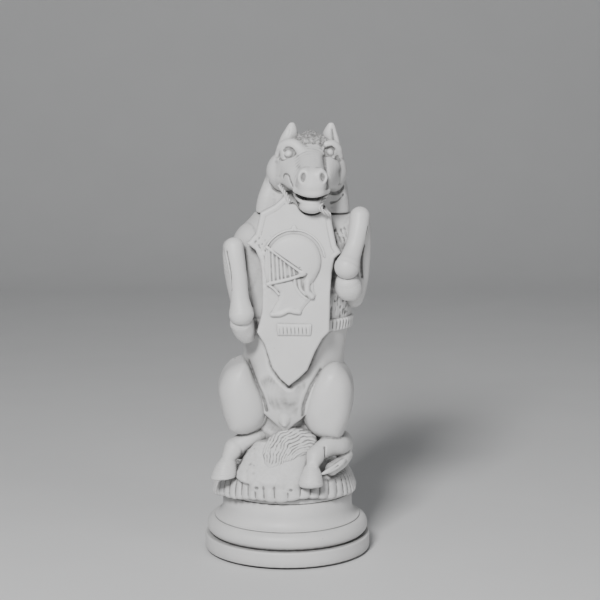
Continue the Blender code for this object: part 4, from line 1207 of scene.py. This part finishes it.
def make_ear(name, node, stations, hollow):
    """A pointed ear with a shallow hollow down its front, no taller than the CAD's."""
    low = np.min([s[:3] for s in stations], axis=0) - 20
    high = np.max([s[:3] for s in stations], axis=0) + 20
    clay = Clay(low, high, 0.7)
    clay.add(limb(stations, 6, (1, 0.75, 1)), 0.0)
    clay.cut(limb(hollow, 6), 3.0)
    clay.keep(under(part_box(node)[1][2] / MM - 0.4), 2.0)
    settle(clay.cast(name, SMOOTH_RESIN), node)


make_head()
make_jaw()
make_ear(
    "ear_right_casting", "ear_right",
    [(0, -4, 557, 14), (3, -5, 569, 12.6), (5.2, -6, 579, 9.4), (6.3, -6, 586, 6.6), (6.6, -6, 590.4, 4.2)],
    [(-9, -15, 562, 2.6), (-2, -16, 574, 2.2), (2.5, -13, 584, 1.0)],
)
make_ear(
    "ear_left_casting", "ear_left",
    [
        (60, -4, 557, 13.5), (58.6, -5, 569, 12.4), (58.4, -6, 578, 9.8), (59.2, -7, 585.5, 6.8),
        (59.6, -8, 590.2, 4.2),
    ],
    [(65.5, -14, 563, 3.6), (63.5, -14, 573, 3.2), (61.5, -12.5, 584, 1.4)],
)

# ------------------------------------------------------------------ Mane
# A ragged crest casting from the forelock over the poll and down the back of the neck,
# combed into rough locks.
MANE = [
    (31, -24, 565, 9), (32, -8, 568, 11), (32, 8, 569, 11.5), (32, 28, 566, 15), (31, 46, 548, 15),
    (28, 57, 512, 14), (25, 55, 470, 12), (22, 54, 440, 8),
]


def mane_locks(x, y, z):
    sway = 3.0 * lumps(x, y, z, 10.0, 19)
    along = np.where(z > 556, x + 0.15 * y, z * 0.55 + np.abs(x - 28) * 0.9)
    furrow = 0.5 + 0.5 * np.sin(2 * math.pi * (along + sway) / 6.0)
    return -1.2 * furrow + 1.2 * lumps(x, y, z, 3.2, 20) + 0.6 * lumps(x, y, z, 1.9, 23)


def make_mane():
    clay = Clay((-12, -52, 426), (76, 78, 590), 1.0)
    clay.add(limb(MANE), 0.0)
    clay.add(limb([
        (12, -17, 566, 8), (19, -20, 570.5, 9.2), (32, -20, 571, 9.4), (43, -19, 570.5, 9.2),
        (50, -17, 566, 8),
    ]), 5.0)
    clay.add(limb([
        (-3, -22, 564, 5), (12, -32, 568, 6.5), (31, -36, 569, 7), (50, -32, 568, 6.5), (63, -22, 563, 5),
    ]), 5.0)
    clay.swell(clay.low, clay.high, mane_locks)
    settle(clay.cast("mane_casting", COMBED_RESIN), "mane")


make_mane()

# ------------------------------------------------------------------ Reins
# Two short lengths of twisted rope, cast with the bit end at the corner of the mouth and the
# other end laid on the top of the shield.
REINS = {
    "rein_right": [(-10, -51, 513), (-6, -60, 508), (-1, -68, 501), (4, -75, 493)],
    "rein_left": [
        (55, -62, 507), (51, -72, 500), (45, -83, 491.5), (44, -86, 486), (48, -84, 481), (56, -79, 477),
    ],
}


class Grower(Wiring):
    """A Geometry Nodes tree on a helper object, turned into a plain piece when it is done."""

    def __init__(self, name):
        self.name = name
        self.tree = bpy.data.node_groups.new(name, "GeometryNodeTree")
        self.tree.interface.new_socket("Geometry", in_out="INPUT", socket_type="NodeSocketGeometry")
        self.tree.interface.new_socket("Geometry", in_out="OUTPUT", socket_type="NodeSocketGeometry")
        self.entry = self.tree.nodes.new("NodeGroupInput")
        self.exit = self.tree.nodes.new("NodeGroupOutput")
        self.values = {}

    def value(self, name, amount):
        """A named input and the amount it gets."""
        kind = "NodeSocketInt" if isinstance(amount, int) else "NodeSocketFloat"
        socket = self.tree.interface.new_socket(name, in_out="INPUT", socket_type=kind)
        self.values[socket.identifier] = amount
        return self.entry.outputs[name]

    def done(self, geometry, material, source):
        """The tree's result on the source mesh or curve as a plain mesh object."""
        real = self.node("GeometryNodeRealizeInstances", {"Geometry": geometry}).outputs["Geometry"]
        painted = self.node("GeometryNodeSetMaterial", {"Geometry": real, "Material": material})
        self.tree.links.new(painted.outputs["Geometry"], self.exit.inputs["Geometry"])
        helper = bpy.data.objects.new(self.name + "_helper", source)
        bpy.context.scene.collection.objects.link(helper)
        modifier = helper.modifiers.new("grow", "NODES")
        modifier.node_group = self.tree
        for identifier, amount in self.values.items():
            modifier[identifier] = amount
        shape = helper.evaluated_get(bpy.context.evaluated_depsgraph_get())
        mesh = bpy.data.meshes.new_from_object(shape)
        bpy.data.objects.remove(helper)
        mesh.materials.clear()
        mesh.materials.append(material)
        mesh.shade_smooth()
        made = bpy.data.objects.new(self.name, mesh)
        bpy.context.scene.collection.objects.link(made)
        return made


def make_rein(name, route):
    """Strands that wind round a smooth route, as a rope is laid."""
    path = bpy.data.curves.new(name, "CURVE")
    path.dimensions = "3D"
    spline = path.splines.new("POLY")
    points = smooth_route([(*p, 0) for p in route], 10)
    spline.points.add(len(points) - 1)
    for point, place in zip(spline.points, points):
        point.co = (*(place[:3] * MM), 1.0)
    grow = Grower(name + "_casting")
    strands, turns = grow.value("Strands", 3), grow.value("Turns", 2.2)
    lay, thick = grow.value("Lay radius", 0.0016), grow.value("Strand radius", 0.0014)
    fine = grow.node("GeometryNodeResampleCurve", {"Curve": grow.entry.outputs["Geometry"], "Count": 90})
    copied = {"Geometry": fine.outputs[0], "Amount": strands}
    copies = grow.node("GeometryNodeDuplicateElements", copied, domain="SPLINE")
    share = grow.node("GeometryNodeSplineParameter").outputs["Factor"]
    phase = grow.sums("DIVIDE", copies.outputs["Duplicate Index"], strands)
    angle = grow.sums("MULTIPLY", grow.sums("ADD", grow.sums("MULTIPLY", share, turns), phase), 2 * math.pi)
    normal = grow.node("GeometryNodeInputNormal").outputs["Normal"]
    tangent = grow.node("GeometryNodeInputTangent").outputs["Tangent"]
    side = grow.node("ShaderNodeVectorMath", {0: tangent, 1: normal}, operation="CROSS_PRODUCT").outputs[0]

    def scaled(vector, operation):
        wave = grow.node("ShaderNodeMath", {0: angle}, operation=operation).outputs[0]
        amount = grow.sums("MULTIPLY", wave, lay)
        return grow.node("ShaderNodeVectorMath", {0: vector, "Scale": amount}, operation="SCALE").outputs[0]

    both = {0: scaled(normal, "COSINE"), 1: scaled(side, "SINE")}
    offset = grow.node("ShaderNodeVectorMath", both, operation="ADD")
    wound = grow.node("GeometryNodeSetPosition", {"Geometry": copies.outputs[0], "Offset": offset.outputs[0]})
    ring = grow.node("GeometryNodeCurvePrimitiveCircle", {"Resolution": 12, "Radius": thick})
    rope = grow.node("GeometryNodeCurveToMesh", {
        "Curve": wound.outputs[0], "Profile Curve": ring.outputs[0], "Fill Caps": True,
    })
    settle(grow.done(rope.outputs[0], SMOOTH_RESIN, path), name)


for rein, route in REINS.items():
    make_rein(rein, route)

# ------------------------------------------------------------------ Fittings and fillings
# What holds the castings together and stays as the CAD has it: moulded base plate and filler
# plug, rubber feet and seal, zinc-plated screws, rod, nuts and dowels, foam and sand.
def moulded_plastic(name, level):
    """Dark moulded plastic with a fine spark-eroded texture."""
    finish = Finish(name)
    colour = finish.mix(finish.band(finish.noise(40.0), 0.3, 0.7), grey(level * 0.9), grey(level * 1.15))
    rough = finish.band(finish.noise(300.0), 0.3, 0.7, 0.42, 0.58)
    pimples = finish.bump(finish.noise(1400.0, 2.0), 0.0001, 0.5)
    return finish.done(Base_Color=colour, Roughness=rough, Normal=pimples)


def moulded_rubber(name):
    """Black rubber, a little dusty and scuffed."""
    finish = Finish(name)
    dust = finish.band(finish.noise(120.0, 6.0), 0.45, 0.75)
    colour = finish.mix(dust, grey(0.018), grey(0.07, 0.04))
    rough, grain = finish.band(dust, 0, 1, 0.62, 0.9), finish.bump(finish.noise(700.0), 0.00015, 0.5)
    return finish.done(Base_Color=colour, Roughness=rough, Normal=grain)


def zinc_plate(name):
    """Bright zinc with a cloudy passivated bloom."""
    finish = Finish(name)
    bloom = finish.band(finish.noise(90.0, 6.0), 0.35, 0.7)
    finish.shader.inputs["Metallic"].default_value = 1.0
    colour = finish.mix(bloom, grey(0.55), (0.62, 0.60, 0.52, 1.0))
    rough, grain = finish.band(bloom, 0, 1, 0.26, 0.48), finish.bump(finish.noise(600.0), 0.00008, 0.4)
    return finish.done(Base_Color=colour, Roughness=rough, Normal=grain)


def foam(name):
    """Poured foam: pale amber with open cells."""
    finish = Finish(name)
    cells = finish.node("ShaderNodeTexVoronoi", {"Vector": finish.place, "Scale": 420.0}).outputs["Distance"]
    colour = finish.mix(finish.band(cells, 0.0, 0.7), (0.42, 0.34, 0.18, 1.0), (0.74, 0.66, 0.42, 1.0))
    rough, pores = finish.band(cells, 0, 1, 0.95, 0.8), finish.bump(cells, 0.0006, 0.8)
    return finish.done(Base_Color=colour, Roughness=rough, Normal=pores)


def sand(name):
    """Bound sand: mixed grains from tan to brown."""
    finish = Finish(name)
    grains = finish.node("ShaderNodeTexVoronoi", {"Vector": finish.place, "Scale": 900.0})
    tone = finish.node("ShaderNodeSeparateColor", {"Color": grains.outputs["Color"]}).outputs["Red"]
    colour = finish.mix(tone, (0.34, 0.24, 0.13, 1.0), (0.66, 0.56, 0.40, 1.0))
    rough, grit = finish.band(tone, 0, 1, 0.8, 0.98), finish.bump(grains.outputs["Distance"], 0.0005, 0.9)
    return finish.done(Base_Color=colour, Roughness=rough, Normal=grit)


FINISH_FOR_SLOT = {
    "grey_plastic": moulded_plastic("moulded_plastic", 0.045),
    "black_rubber": moulded_rubber("moulded_rubber"),
    "zinc_steel": zinc_plate("zinc_plate"),
    "foam": foam("poured_foam"),
    "sand": sand("bound_sand"),
    "cast_resin": SMOOTH_RESIN,
}
for part in frame["record"]["subparts"]:
    node = frame["nodes"][part["node"]]
    node.data.materials.clear()
    node.data.materials.append(FINISH_FOR_SLOT[part["material_slot"]])
